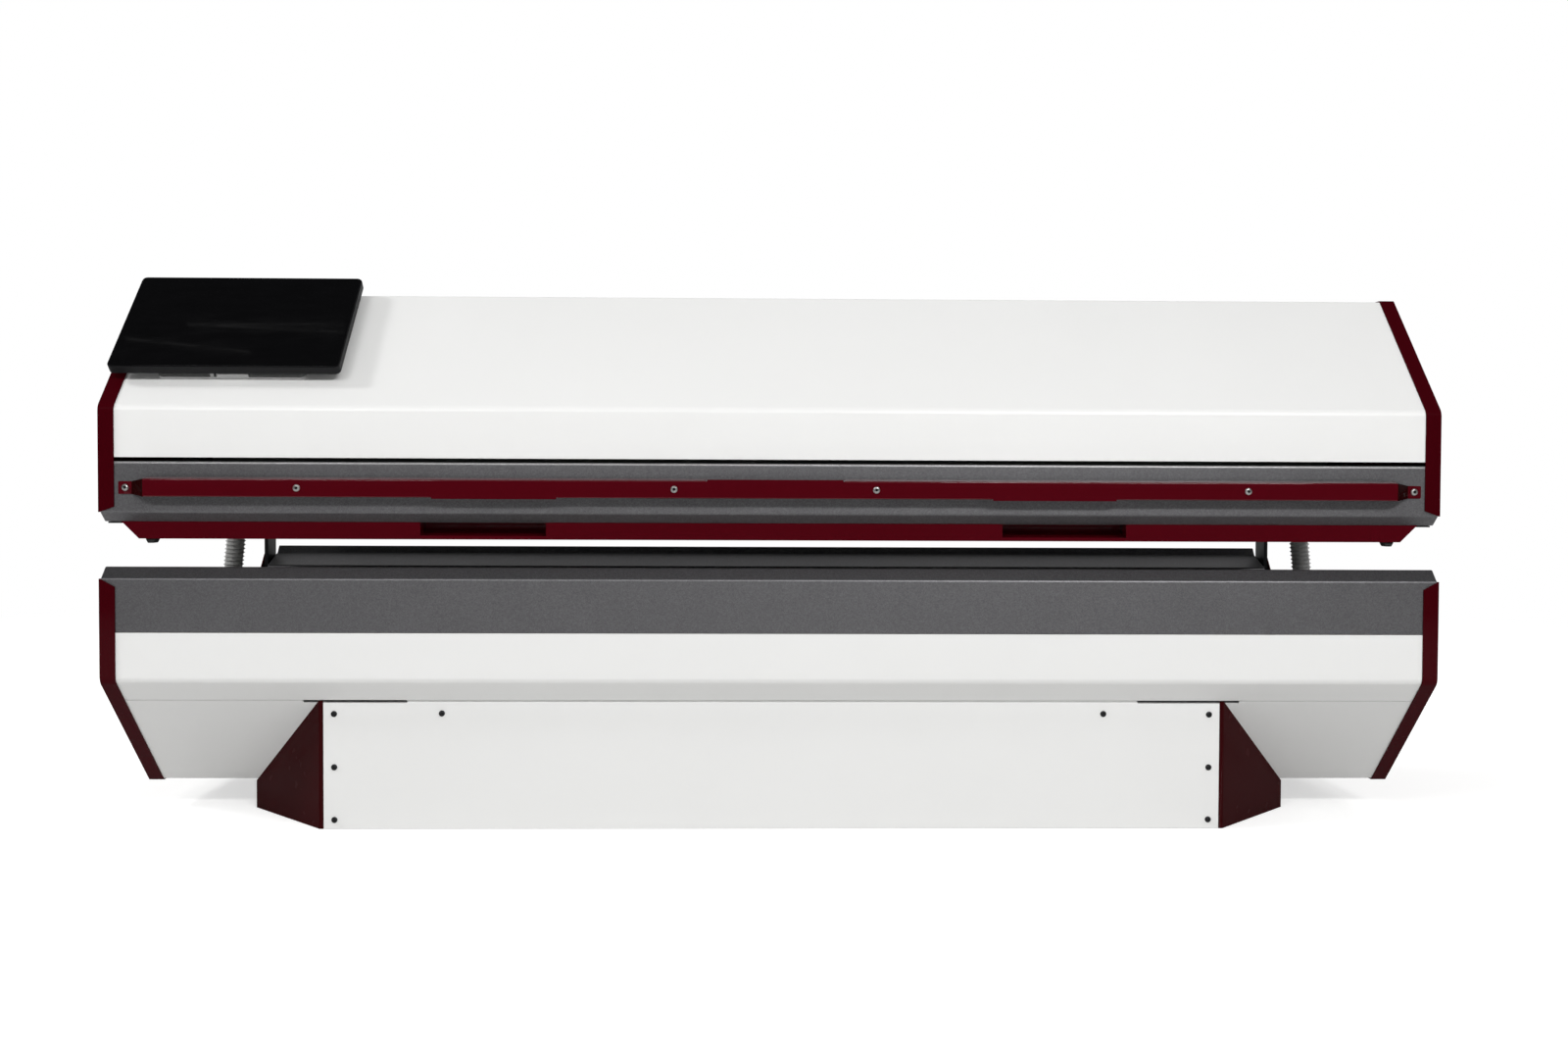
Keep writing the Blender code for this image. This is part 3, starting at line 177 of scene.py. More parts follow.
class Channel:
    """A socket of a finish, with arithmetic that adds the Math nodes for it."""

    def __init__(self, finish, socket):
        self.finish = finish
        self.socket = socket

    __add__ = maths("ADD")
    __radd__ = maths("ADD", True)
    __sub__ = maths("SUBTRACT")
    __rsub__ = maths("SUBTRACT", True)
    __mul__ = maths("MULTIPLY")
    __rmul__ = maths("MULTIPLY", True)
    __pow__ = maths("POWER")
    __gt__ = maths("GREATER_THAN")
    __mod__ = maths("FLOORED_MODULO")
    at_least = maths("MAXIMUM")


class Finish:
    """A procedural material on one Principled shader; fixed values go on the shader's own sockets."""

    def __init__(self, name, fixed, owner=None):
        self.material = owner or bpy.data.materials.new(name)
        self.material.use_nodes = True
        self.tree = self.material.node_tree
        self.shader = self.tree.nodes.get("Principled BSDF")
        for label, value in fixed.items():
            self.put(self.shader.inputs[label], value)

    def put(self, socket, value):
        """Links a channel to a socket, or sets a plain value on it."""
        if isinstance(value, Channel):
            self.tree.links.new(value.socket, socket)
        elif socket.type == "RGBA" and len(value) == 3:
            socket.default_value = (*value, 1.0)
        else:
            socket.default_value = value

    def node(self, kind, settings=None, sockets=None, output=0):
        """Adds a node: its settings first, then the values or links of its sockets."""
        made = self.tree.nodes.new(kind)
        for name, value in (settings or {}).items():
            setattr(made, name, value)
        for key, value in (sockets or {}).items():
            self.put(made.inputs[key], value)
        return Channel(self, made.outputs[output])

    def place(self):
        """Points of the piece in metres."""
        return self.node("ShaderNodeTexCoord", output="Object")

    def stretched(self, scale):
        """Points of the piece, scaled along each axis."""
        return self.node("ShaderNodeVectorMath", {"operation": "MULTIPLY"}, {0: self.place(), 1: scale})

    def noise(self, scale, detail=2.0, roughness=0.5, where=None):
        """Soft noise with features about one over scale metres wide."""
        return self.node(
            "ShaderNodeTexNoise", {},
            {"Vector": where or self.place(), "Scale": scale, "Detail": detail, "Roughness": roughness})

    def cells(self, scale):
        """A random grey for each small cell."""
        colours = self.node("ShaderNodeTexVoronoi", {}, {"Vector": self.place(), "Scale": scale}, "Color")
        return self.node("ShaderNodeSeparateColor", {}, {"Color": colours})

    def spread(self, value, low, high, kind="LINEAR"):
        """Spreads a value between two limits from nought to one, straight or eased."""
        limits = {"Value": value, "From Min": low, "From Max": high}
        return self.node("ShaderNodeMapRange", {"interpolation_type": kind}, limits)

    def part(self, vector, axis):
        """One part of a vector, named by its axis."""
        return self.node("ShaderNodeSeparateXYZ", {}, {"Vector": vector}, axis)

    def mix(self, mask, low, high):
        """Blends two colours by a mask, through the node's sockets for colours."""
        return self.node("ShaderNodeMix", {"data_type": "RGBA"}, {0: mask, 6: low, 7: high}, 2)

    def tones(self, mask, tint, low, high):
        """Blends two tones of one colour by a mask."""
        return self.mix(mask, shade(tint, low), shade(tint, high))

    def bump(self, height, strength, depth):
        """Raises the surface by a height channel."""
        return self.node("ShaderNodeBump", {}, {"Height": height, "Strength": strength, "Distance": depth})

    def wear(self, **channels):
        """Feeds channels to the shader, with underscores for the spaces of its socket names."""
        for label, value in channels.items():
            self.put(self.shader.inputs[label.replace("_", " ")], value)
        return self.material


def shade(tint, factor):
    """A colour made darker or lighter."""
    return tuple(min(1.0, part * factor) for part in tint)


def panel_white(tint):
    """Satin powder coat with a fine orange peel and a faint cloudiness."""
    finish = Finish("panel_white", {"Specular IOR Level": 0.45})
    cloud = finish.noise(5.0, 3.0)
    peel = finish.noise(650.0)
    return finish.wear(
        Base_Color=finish.tones(cloud, tint, 0.985, 1.012),
        Roughness=0.28 + 0.12 * finish.noise(60.0),
        Normal=finish.bump(peel, 0.10, 0.0004))


def gloss_red(tint, coat):
    """Deep gloss coat with fine dark flakes and a slight ripple."""
    finish = Finish("gloss_red", {"Specular IOR Level": 0.01, "Coat Roughness": 0.06, "Coat IOR": 1.5})
    flakes = finish.cells(1600.0)
    cloud = finish.noise(4.0)
    ripple = finish.noise(120.0)
    return finish.wear(
        Base_Color=finish.tones(flakes * 0.5 + cloud * 0.5, tint, 0.92, 1.08),
        Roughness=0.22 + 0.08 * finish.noise(40.0),
        Coat_Weight=coat * (0.85 + 0.3 * cloud),
        Normal=finish.bump(ripple, 0.03, 0.0003))


def rim_grey(tint):
    """Metallic paint with bright and dark flakes."""
    finish = Finish("rim_grey", {"Specular IOR Level": 0.35})
    fine = finish.cells(1100.0)
    coarse = finish.cells(420.0)
    cloud = finish.noise(14.0, 4.0, 0.6)
    grain = (fine * 0.5 + coarse * 0.3 + cloud * 0.2) ** 1.3
    return finish.wear(
        Base_Color=finish.tones(grain, tint, 0.70, 1.42),
        Metallic=0.80 + 0.15 * coarse,
        Roughness=0.40 + 0.08 * fine,
        Normal=finish.bump(finish.noise(700.0), 0.12, 0.0003))


def satin_black(tint, shine=0.35):
    """Black paint with a fine texture."""
    finish = Finish("satin_black", {"Specular IOR Level": shine})
    grain = finish.noise(900.0, 3.0, 0.6)
    return finish.wear(
        Base_Color=finish.tones(finish.noise(30.0, 3.0), tint, 0.75, 1.35),
        Roughness=0.40 + 0.16 * grain,
        Normal=finish.bump(grain, 0.20, 0.0003))


def moulded_black(tint):
    """Black plastic with the fine spark texture of a mould."""
    finish = Finish("moulded_black", {"Specular IOR Level": 0.12})
    spark = finish.cells(1500.0)
    return finish.wear(
        Base_Color=finish.tones(spark, tint, 0.8, 1.3),
        Roughness=0.42 + 0.14 * finish.noise(300.0),
        Normal=finish.bump(spark, 0.15, 0.0002))


def clear_sheet(tint):
    """Clear polished sheet, a little hazier where hands rub it."""
    finish = Finish("clear_sheet", {"Alpha": 0.22, "IOR": 1.49, "Specular IOR Level": 0.9})
    haze = finish.noise(3.0, 4.0, 0.55)
    return finish.wear(
        Base_Color=finish.tones(haze, tint, 0.96, 1.0),
        Roughness=0.03 + 0.06 * haze ** 2.0)


# Pitch of the copper tracks and of the board's joints, where each line starts, and a shift above nought
TRACK_PITCH, TRACK_START = 0.018, 0.0168
JOINT_PITCH, JOINT_START = 0.243, 0.2412
BOARD_SHIFT = 2.0


def board_white(tint):
    """White solder mask with a copper grid showing through."""
    finish = Finish("board_white", {"Specular IOR Level": 0.4})
    along = finish.part(finish.place(), "X") + BOARD_SHIFT
    track = (along % TRACK_PITCH) > TRACK_START
    joint = (along % JOINT_PITCH) > JOINT_START
    speck = finish.noise(500.0)
    plain = finish.tones(speck, tint, 0.97, 1.0)
    lined = finish.mix(track * 0.35, plain, shade(tint, 0.72))
    return finish.wear(
        Base_Color=finish.mix(joint, lined, shade(tint, 0.30)),
        Roughness=0.42 + 0.12 * speck,
        Normal=finish.bump(1.0 - track, 0.25, 0.0002))


def tray_sheet(tint):
    """Plain rolled sheet with long rolling streaks."""
    finish = Finish("tray_sheet", {"Metallic": 0.9})
    streak = finish.noise(1.0, 3.0, 0.6, finish.stretched((1.5, 260.0, 260.0)))
    return finish.wear(
        Base_Color=finish.tones(streak, tint, 0.8, 1.1),
        Roughness=0.34 + 0.18 * streak,
        Normal=finish.bump(streak, 0.08, 0.0002))


def turned_steel(tint):
    """Bright turned or pressed steel with fine lines."""
    finish = Finish("turned_steel", {"Metallic": 1.0})
    lines = finish.noise(1.0, 2.0, 0.5, finish.stretched((900.0, 900.0, 120.0)))
    return finish.wear(
        Base_Color=finish.tones(lines, tint, 0.82, 1.12),
        Roughness=0.22 + 0.16 * lines,
        Normal=finish.bump(lines, 0.06, 0.0002))


def screw_black(tint):
    """Blackened steel, slightly worn."""
    finish = Finish("screw_black", {"Metallic": 0.55, "Specular IOR Level": 0.5})
    worn = finish.noise(400.0, 3.0, 0.6)
    return finish.wear(
        Base_Color=finish.tones(worn ** 3.0, tint, 1.2, 4.0),
        Roughness=0.30 + 0.18 * worn)


def hose_grey(tint):
    """Shiny ribbed plastic with patches of dust and long streaks."""
    finish = Finish("hose_grey", {"Specular IOR Level": 0.6})
    dust = finish.noise(160.0, 3.0, 0.6)
    streak = finish.noise(1.0, 2.0, 0.5, finish.stretched((300.0, 300.0, 30.0)))
    return finish.wear(
        Base_Color=finish.tones(dust * 0.6 + streak * 0.4, tint, 0.70, 1.30),
        Roughness=0.10 + 0.14 * dust,
        Normal=finish.bump(streak, 0.08, 0.0003))


def soft_rubber(tint):
    """Matt moulded rubber."""
    finish = Finish("soft_rubber", {"Specular IOR Level": 0.25})
    grain = finish.noise(1200.0, 3.0, 0.6)
    return finish.wear(
        Base_Color=finish.tones(grain, tint, 0.8, 1.5),
        Roughness=0.72 + 0.16 * grain,
        Normal=finish.bump(grain, 0.25, 0.0002))


def screen_black(tint):
    """Black screen glass with faint wiping marks."""
    finish = Finish("screen_black", {"Specular IOR Level": 0.16, "IOR": 1.45})
    wipes = finish.noise(1.0, 4.0, 0.55, finish.stretched((18.0, 60.0, 60.0)))
    return finish.wear(
        Base_Color=finish.tones(wipes, tint, 0.7, 1.5),
        Roughness=0.03 + 0.08 * finish.spread(wipes, 0.45, 0.85))


def bracket_grey(tint):
    """Light grey moulded plastic."""
    finish = Finish("bracket_grey", {"Specular IOR Level": 0.4})
    spark = finish.cells(1300.0)
    return finish.wear(
        Base_Color=finish.tones(spark, tint, 0.92, 1.06),
        Roughness=0.40 + 0.12 * finish.noise(200.0),
        Normal=finish.bump(spark, 0.10, 0.0002))


def lens_amber(tint):
    """Warm lens of a light emitter with a darker die under it."""
    finish = Finish("lens_amber", {"Specular IOR Level": 0.8})
    swirl = finish.noise(800.0)
    return finish.wear(
        Base_Color=finish.tones(swirl, tint, 0.75, 1.2),
        Roughness=0.08 + 0.08 * swirl)


def mark_white(tint):
    """Printed white mark with slightly uneven ink."""
    finish = Finish("mark_white", {"Specular IOR Level": 0.3})
    ink = finish.noise(2000.0)
    return finish.wear(
        Base_Color=finish.tones(ink, tint, 0.85, 1.0),
        Roughness=0.5 + 0.1 * ink)


FINISHES = {}


def make_finishes(colours):
    """Builds each finish once, from the colours that a user may change."""
    FINISHES.update(
        white_paint=panel_white(colours.white),
        red_paint=gloss_red(colours.red, coat=0.13),
        red_plastic=gloss_red(colours.rail, coat=0.95),
        # The pedestal sides' red holds painted shade and a painted floor reflection
        flare_paint=gloss_red(colours.flare, coat=0.05),
        ramp_paint=gloss_red(colours.ramp, coat=0.30),
        grey_paint=rim_grey(colours.grey),
        # A lighter grey that paints the highlight along the canopy rims' upper roll
        bright_edge=rim_grey(colours.bright),
        black_paint=satin_black(colours.black),
        black_plastic=moulded_black(colours.plastic),
        clear_acrylic=clear_sheet(colours.acrylic),
        led_board=board_white(colours.board),
        tray_metal=tray_sheet(tint=(0.50, 0.50, 0.51)),
        frame_metal=satin_black(shade(colours.black, factor=1.6)),
        pin_steel=turned_steel(tint=(0.55, 0.55, 0.54)),
        conduit_plastic=hose_grey(colours.hose),
        rubber=soft_rubber(tint=(0.020, 0.020, 0.020)),
        screen_glass=screen_black(tint=(0.0020, 0.0020, 0.0023)),
        bracket_plastic=bracket_grey(colours.bracket),
        lens=lens_amber(colours.lens),
        package=mark_white(tint=(0.80, 0.78, 0.70)),
        mark=mark_white(tint=(0.8, 0.8, 0.8)),
        black_screw=screw_black(colours.black),
        dull_black=satin_black(colours.black, shine=0.04))


# Mesh helpers

def placed(name, data):
    """An object in the scene for a mesh, a lamp or a camera."""
    item = bpy.data.objects.new(name, data)
    bpy.context.scene.collection.objects.link(item)
    return item


def piece(name, work, finishes, body, stands_for=(), smooth=True):
    """Turns a bmesh into a piece that rides on a body."""
    mesh = bpy.data.meshes.new(name)
    work.to_mesh(mesh)
    work.free()
    for finish in finishes:
        mesh.materials.append(FINISHES[finish])
    item = placed(name, mesh)
    if smooth:
        mesh.shade_smooth()
        mesh.set_sharp_from_angle(angle=SHARP_ANGLE)
        flat = item.modifiers.new("Flat faces", "WEIGHTED_NORMAL")
        flat.mode = "FACE_AREA"
        flat.weight = FLAT_WEIGHT
        flat.keep_sharp = True
    if body:
        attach(item, body)
    if stands_for:
        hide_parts(*stands_for)
    return item


def solid_of(node):
    """A bmesh of a node with joined points and whole flat faces."""
    work = bmesh.new()
    work.from_mesh(frame["nodes"][node].data)
    bmesh.ops.remove_doubles(work, verts=work.verts, dist=WELD)
    bmesh.ops.dissolve_limit(work, angle_limit=FLAT_ANGLE, verts=work.verts, edges=work.edges)
    bmesh.ops.recalc_face_normals(work, faces=work.faces)
    return work


def reach_from(face, edge):
    """Distance from an edge to the far side of a flat face next to it."""
    start = edge.verts[0].co
    across = face.normal.cross((edge.verts[1].co - start).normalized())
    return max(abs((vert.co - start).dot(across)) for vert in face.verts)


def folds_of(work, sheet, shortest):
    """Edges between two broad faces, grouped by how far they turn and to which side."""
    groups = {}
    for edge in work.edges:
        if len(edge.link_faces) != 2 or edge.calc_length() < shortest:
            continue
        turn = edge.calc_face_angle(0.0)
        if turn < FOLD_ANGLE or min(reach_from(face, edge) for face in edge.link_faces) < BROAD * sheet:
            continue
        outer = abs(edge.verts[0].co.y) > CREASE_REACH
        groups.setdefault((round(turn, 2), edge.is_convex, outer), []).append(edge)
    return groups


def round_edges(work, edges, size, segments, guarded=True):
    """Bevels edges to a round profile; guarded ones stop before they cross."""
    bmesh.ops.bevel(
        work, geom=edges, offset=size, offset_type="OFFSET", segments=segments, profile=0.5,
        affect="EDGES", clamp_overlap=guarded, loop_slide=guarded)


def roll_folds(work, radius, sheet, shortest=0.0, widest=math.pi, segments=5, inner=None):
    """Rolls the folds of a sheet to a radius, or to another one where they lie far in from the long edges."""
    for turn, outside, outer in sorted(folds_of(work, sheet, shortest)):
        if turn > widest:
            continue
        edges = folds_of(work, sheet, shortest).get((turn, outside, outer), [])
        whole = radius if outer or inner is None else inner
        bend = whole if outside else max(whole - sheet, sheet / 4)
        round_edges(work, edges, bend * math.tan(turn / 2), segments)


def ease_edges(work, size, segments=2, angle=CUT_ANGLE, outside=False):
    """Rounds every sharp edge a little, or only those that stand out."""
    edges = [
        edge for edge in work.edges if len(edge.link_faces) == 2 and edge.calc_face_angle(0.0) > angle
        and (edge.is_convex or not outside)]
    round_edges(work, edges, size, segments)


def dress(node, work, *finishes):
    """Puts a finished form of a node in the node's place."""
    slot = SLOT_OF[node]
    piece(node + "_dressed", work, finishes or [slot], BODY_OF[node], [node])


def ease_node(node, size, segments=2, angle=CUT_ANGLE, finishes=()):
    """Eases the edges of a node whose form is right otherwise."""
    work = solid_of(node)
    ease_edges(work, size, segments, angle)
    dress(node, work, *finishes)


def roll_node(node, radius, sheet, edge, edge_segments=2, finishes=(), **folds):
    """Rolls the folds of a node of bent sheet and eases its cut edges."""
    work = solid_of(node)
    roll_folds(work, radius, sheet, **folds)
    ease_edges(work, edge, edge_segments)
    dress(node, work, *finishes)


def repaint(*nodes):
    """Gives nodes whose shape stays their finish."""
    for node in nodes:
        item = frame["nodes"][node]
        item.data.materials.clear()
        item.data.materials.append(FINISHES[SLOT_OF[node]])


def ring_rows(work, rows, closed=False):
    """Joins rings of points into a skin that closes on itself, or has a cap at each end."""
    rings = [[work.verts.new(point) for point in row] for row in rows]
    pairs = list(zip(rings, rings[1:]))
    if closed:
        pairs.append((rings[-1], rings[0]))
    for low, high in pairs:
        count = len(low)
        for k in range(count):
            n = (k + 1) % count
            work.faces.new((low[k], low[n], high[n], high[k]))
    if not closed:
        work.faces.new(list(reversed(rings[0])))
        work.faces.new(rings[-1])
    bmesh.ops.recalc_face_normals(work, faces=work.faces)


def turns(count):
    """Angles that share out a full turn."""
    return [2 * math.pi * k / count for k in range(count)]


def lathe(work, rings, place, sides, waves=0, closed=False):
    """Turns rings of (radius, height, depth of waves) about the axis of a place."""
    rows = []
    for radius, height, depth in rings:
        row = []
        for angle in turns(sides):
            reach = radius * (1 + depth * math.cos(waves * angle))
            row.append(place @ Vector((reach * math.cos(angle), reach * math.sin(angle), height)))
        rows.append(row)
    ring_rows(work, rows, closed)


def slab(work, low, high):
    """A block between two corners."""
    size = [b - a for a, b in zip(low, high)]
    middle = [(a + b) / 2 for a, b in zip(low, high)]
    place = Matrix.Translation(middle) @ Matrix.Diagonal((*size, 1.0))
    bmesh.ops.create_cube(work, size=1.0, matrix=place)


# A screw head: height in radii, rings as (radius, height, lobes), and what counts as its socket
LOBES = 6
SCREW_SIDES = 24
SCREW_HEIGHT = 0.55
SCREW_RINGS = (
    (1.0, 0.0, 0.0), (1.0, 0.30, 0.0), (0.94, 0.65, 0.0), (0.78, 0.92, 0.0),
    (0.60, 1.0, 0.0), (0.44, 1.0, 0.10), (0.40, 0.96, 0.12), (0.36, 0.25, 0.12))
SOCKET_REACH = 0.425
SOCKET_RISE = 0.1


def screw_heads(name, places, radius, finish, body):
    """Pan-head screws with a six-lobed socket, as one piece for each body."""
    work = bmesh.new()
    height = SCREW_HEIGHT * radius
    rings = [(reach * radius, rise * height, lobes) for reach, rise, lobes in SCREW_RINGS]
    for point, out in places:
        start = len(work.faces)
        upright = Vector(out).to_track_quat("Z", "Y").to_matrix().to_4x4()
        lathe(work, rings, Matrix.Translation(point) @ upright, SCREW_SIDES, LOBES)
        work.faces.ensure_lookup_table()
        for face in work.faces[start:]:
            away = face.calc_center_median() - Vector(point)
            rise = away.dot(Vector(out))
            inside = (away - rise * Vector(out)).length < SOCKET_REACH * radius
            face.material_index = int(inside and rise > SOCKET_RISE * height)
    piece(name, work, [finish, "black_screw"], body)


# Operators

class BED_OT_white_panels(bpy.types.Operator):
    """Rolls and coats the canopy shell, the base panels, the pan and the pedestal panels"""

    bl_idname = "bed.white_panels"
    bl_label = "White panels"

    def execute(self, context):
        sizes = context.scene.bed_sizes
        for node in ("canopy_shell", "base_front_panel", "base_rear_panel", "base_lower_pan"):
            roll_node(
                node, sizes.panel_fold, sizes.sheet, sizes.sheet_edge, shortest=0.1, inner=sizes.tight_fold)
        for node in ("pedestal_front_panel", "pedestal_rear_panel"):
            ease_node(node, 2 * sizes.sheet_edge, segments=3)
        return {"FINISHED"}


class BED_OT_red_ends(bpy.types.Operator):
    """Rolls and coats the end caps and the pedestal sides"""

    bl_idname = "bed.red_ends"
    bl_label = "Red ends and pedestal sides"

    def execute(self, context):
        sizes = context.scene.bed_sizes
        for word, _ in SIDES:
            for node in ("base_end_" + word, "canopy_end_" + word):
                roll_node(
                    node, sizes.cap_fold, sizes.sheet, sizes.cap_edge, edge_segments=3,
                    shortest=0.015, widest=math.radians(60), inner=sizes.tight_fold)
            # The pedestal sides take the red with painted shade and a painted floor reflection
            roll_node(
                "pedestal_side_" + word, sizes.side_fold, sizes.sheet, sizes.sheet_edge,
                finishes=["flare_paint"], segments=4)
        return {"FINISHED"}


class BED_OT_grey_rims(bpy.types.Operator):
    """Rolls the edges of the four metallic rims and paints a highlight on the canopy rims' upper roll"""

    bl_idname = "bed.grey_rims"
    bl_label = "Grey rims"

    # Faces of the canopy rims' upper roll that look up by a share between these get a painted highlight
    HIGHLIGHT_FROM = 0.1
    HIGHLIGHT_TO = 0.95

    def execute(self, context):
        sizes = context.scene.bed_sizes
        for node in ("base_front_rim", "base_rear_rim", "canopy_front_rim", "canopy_rear_rim"):
            work = solid_of(node)
            roll_folds(work, sizes.rim_fold, sizes.sheet, shortest=0.5)
            ease_edges(work, sizes.rim_edge)
            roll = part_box(node)[1].z - sizes.rim_fold
            # The upward faces of the canopy rims' upper roll get the painted highlight
            for face in work.faces:
                high = node.startswith("canopy") and face.calc_center_median().z > roll
                face.material_index = int(high and self.HIGHLIGHT_FROM < face.normal.z < self.HIGHLIGHT_TO)
            dress(node, work, "grey_paint", "bright_edge")
        return {"FINISHED"}


class BED_OT_rails(bpy.types.Operator):
    """Finishes the grab strip and the handle rail, and adds the black strips beside the rail"""

    bl_idname = "bed.rails"
    bl_label = "Rails"

    # Where the strip's folds stop, and how far on each side of that its face is cut to stay flat
    FOLD_STOPS = (0.115, 0.361, 0.571)
    BESIDE = 0.004
    # Lengths of the strip's end tabs and ramps, and how a ramp's faces are told by their slant and place
    TAB = 0.023
    RAMP = 0.027
    SLANT = 0.3
    RAMP_PLAY = (0.002, 0.001)
    # The inner corner of a hand pocket, and how near to it an edge lies
    POCKET_DEPTH = 0.046
    POCKET_LIP = 0.0063
    CORNER_PLAY = 0.0005
    # Strips beside the rail: play at both ends, setbacks at front and back, drops of underside and top
    STRIP_ENDS = (0.0006, 0.004)
    STRIP_SETBACKS = (0.002, 0.012)
    STRIP_DROPS = (0.0030, 0.0003)

    def execute(self, context):
        sizes = context.scene.bed_sizes
        self.strip(sizes)
        self.rail(sizes)
        self.end_strips()
        for word, _ in SIDES:
            ease_node("bumper_" + word, size=0.0012, segments=3, angle=BLUNT_ANGLE)
        return {"FINISHED"}

    def strip(self, sizes):
        """The grab strip: rolled folds, dark ramps and a face that stays flat where the folds stop."""
        work = solid_of("grab_strip")
        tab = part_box("grab_strip")[1].x - self.TAB
        end = tab - self.RAMP
        for stop in self.FOLD_STOPS + (end,):
            for x in (stop - self.BESIDE, stop + self.BESIDE):
                for _, side in SIDES:
                    bmesh.ops.bisect_plane(
                        work, geom=[*work.verts, *work.edges, *work.faces], dist=WELD,
                        plane_co=(side * x, 0.0, 0.0), plane_no=ALONG)
        roll_folds(work, sizes.strip_fold, sizes.sheet, segments=4)
        ease_edges(work, sizes.sheet_edge)
        # Faces that slant across the ramps take the darker red
        before, after = self.RAMP_PLAY
        for face in work.faces:
            slant = abs(face.normal.x)
            across = abs(face.calc_center_median().x)
            face.material_index = int(slant > self.SLANT and end - before < across < tab + after)
        dress("grab_strip", work, "red_plastic", "ramp_paint")

    def rail(self, sizes):
        """The handle rail with a cove at the back of each pocket."""
        work = solid_of("handle_rail")
        low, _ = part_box("handle_rail")
        corner = Vector((0.0, low.y + self.POCKET_DEPTH, low.z + self.POCKET_LIP))
        coves = []
        for edge in work.edges:
            ends = [vert.co - corner for vert in edge.verts]
            if all(math.hypot(away.y, away.z) < self.CORNER_PLAY for away in ends):
                coves.append(edge)
        round_edges(work, coves, sizes.pocket_cove, segments=6, guarded=False)
        ease_edges(work, sizes.rail_edge, 3, outside=True)
        dress("handle_rail", work)

    def end_strips(self):
        """Black strips under the rim, from the ends of the rail to the ends of the rim."""
        low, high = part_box("handle_rail")
        start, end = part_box("canopy_front_rim")
        gap, inset = self.STRIP_ENDS
        front, back = self.STRIP_SETBACKS
        under, top = self.STRIP_DROPS
        work = bmesh.new()
        for _, side in SIDES:
            near, far = sorted((side * (high.x + gap), side * (end.x - inset)))
            slab(work, (near, low.y + front, start.z - under), (far, high.y - back, start.z - top))
        ease_edges(work, size=0.0005)
        piece("rail_end_strips", work, ["rubber"], "canopy")


class BED_OT_hinges(bpy.types.Operator):
    """Finishes the hinge plates, the arms and the pins"""

    bl_idname = "bed.hinges"
    bl_label = "Hinges"

    # Eased edges, and finishes that differ from the record
    EDGES = (
        ("hinge_plate_", 0.0010, ["dull_black"]),
        ("hinge_arm_", 0.0010, ["dull_black"]),
        ("hinge_pin_", 0.0008, []))

    def execute(self, context):
        for word, _ in SIDES:
            for node, size, finishes in self.EDGES:
                ease_node(node + word, size, finishes=finishes)
        return {"FINISHED"}


class BED_OT_hoses(bpy.types.Operator):
    """Makes the ribbed hoses that bend between base and canopy, and their gland nuts"""

    bl_idname = "bed.hoses"
    bl_label = "Hoses"

    # Sideways bow at mid height, and how many crest radii at each end stay straight
    BOW = -0.005
    STRAIGHT = 1.2
    # Radii of the bore and of the ribs' roots and crests
    BORE = 0.0125
    ROOT = 0.0168
    CREST = 0.0195
    # Rings to a rib, how narrow its crest is, and points to a ring
    STEPS = 8
    SHARP = 2.5
    TURNS = 36
    # A nut: outer rings as (radius, height, depth of flats), and play and eased bore round the hose
    NUT_RINGS = (
        (1.0, 0.0, 0.0), (1.0, 0.25, 0.0), (0.897, 0.30, 0.023 / 0.897), (0.897, 0.85, 0.023 / 0.897),
        (0.86, 1.0, 0.0))
    NUT_SIDES = 48
    NUT_FLATS = 12
    PLAY = 0.0006
    BORE_EDGE = 0.0002

    def execute(self, context):
        ribs = context.scene.bed_sizes.ribs
        for word, side in SIDES:
            low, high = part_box("conduit_" + word)
            left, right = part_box("base_gland_" + word)
            x = (left.x + right.x) / 2
            y = (left.y + right.y) / 2
            tall = high.z - low.z
            count = ribs * self.STEPS
            rings = [(self.rib(i), tall * i / count, 0.0) for i in range(count + 1)]
            rings += [(self.BORE, tall * (1 - i / ribs), 0.0) for i in range(ribs + 1)]
            work = bmesh.new()
            lathe(work, rings, Matrix.Translation((x, y, low.z)), self.TURNS, closed=True)
            for vert in work.verts:
                vert.co.x += side * self.bow(vert.co.z - low.z, tall)
            name = "hose_" + word
            hose = piece(name, work, ["conduit_plastic"], None, ["conduit_" + word], False)
            hose.data.shade_smooth()
            hose.data.set_sharp_from_angle(angle=math.radians(60))
            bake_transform(hose)
            for body in ("base", "canopy"):
                self.gland_nut(body + "_gland_" + word, body, x, y)
        return {"FINISHED"}

    def rib(self, step):
        """Outer radius of a hose at a step along it."""
        wave = 0.5 - 0.5 * math.cos(2 * math.pi * step / self.STEPS)
        return self.ROOT + (self.CREST - self.ROOT) * wave ** self.SHARP

    def bow(self, height, tall):
        """Sideways bow of a hose at a height."""
        straight = self.STRAIGHT * self.CREST
        inner = min(max((height - straight) / (tall - 2 * straight), 0.0), 1.0)
        return self.BOW * math.sin(math.pi * inner) ** 2

    def gland_nut(self, node, body, x, y):
        """A ring nut with twelve flats that clamps a hose to its deck."""
        low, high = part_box(node)
        outer = (high.x - low.x) / 2
        tall = high.z - low.z
        bore = self.CREST + self.PLAY
        rings = [(reach * outer, tall * height, depth) for reach, height, depth in self.NUT_RINGS]
        rings += [(bore + self.BORE_EDGE, tall, 0.0), (bore, 0.9 * tall, 0.0), (bore, 0.0, 0.0)]
        place = Matrix.Translation((x, y, low.z))
        if body == "canopy":
            place = Matrix.Translation((x, y, high.z)) @ Matrix.Diagonal((1.0, 1.0, -1.0, 1.0))
        work = bmesh.new()
        lathe(work, rings, place, self.NUT_SIDES, self.NUT_FLATS, closed=True)
        piece(node + "_nut", work, ["black_plastic"], body, [node])


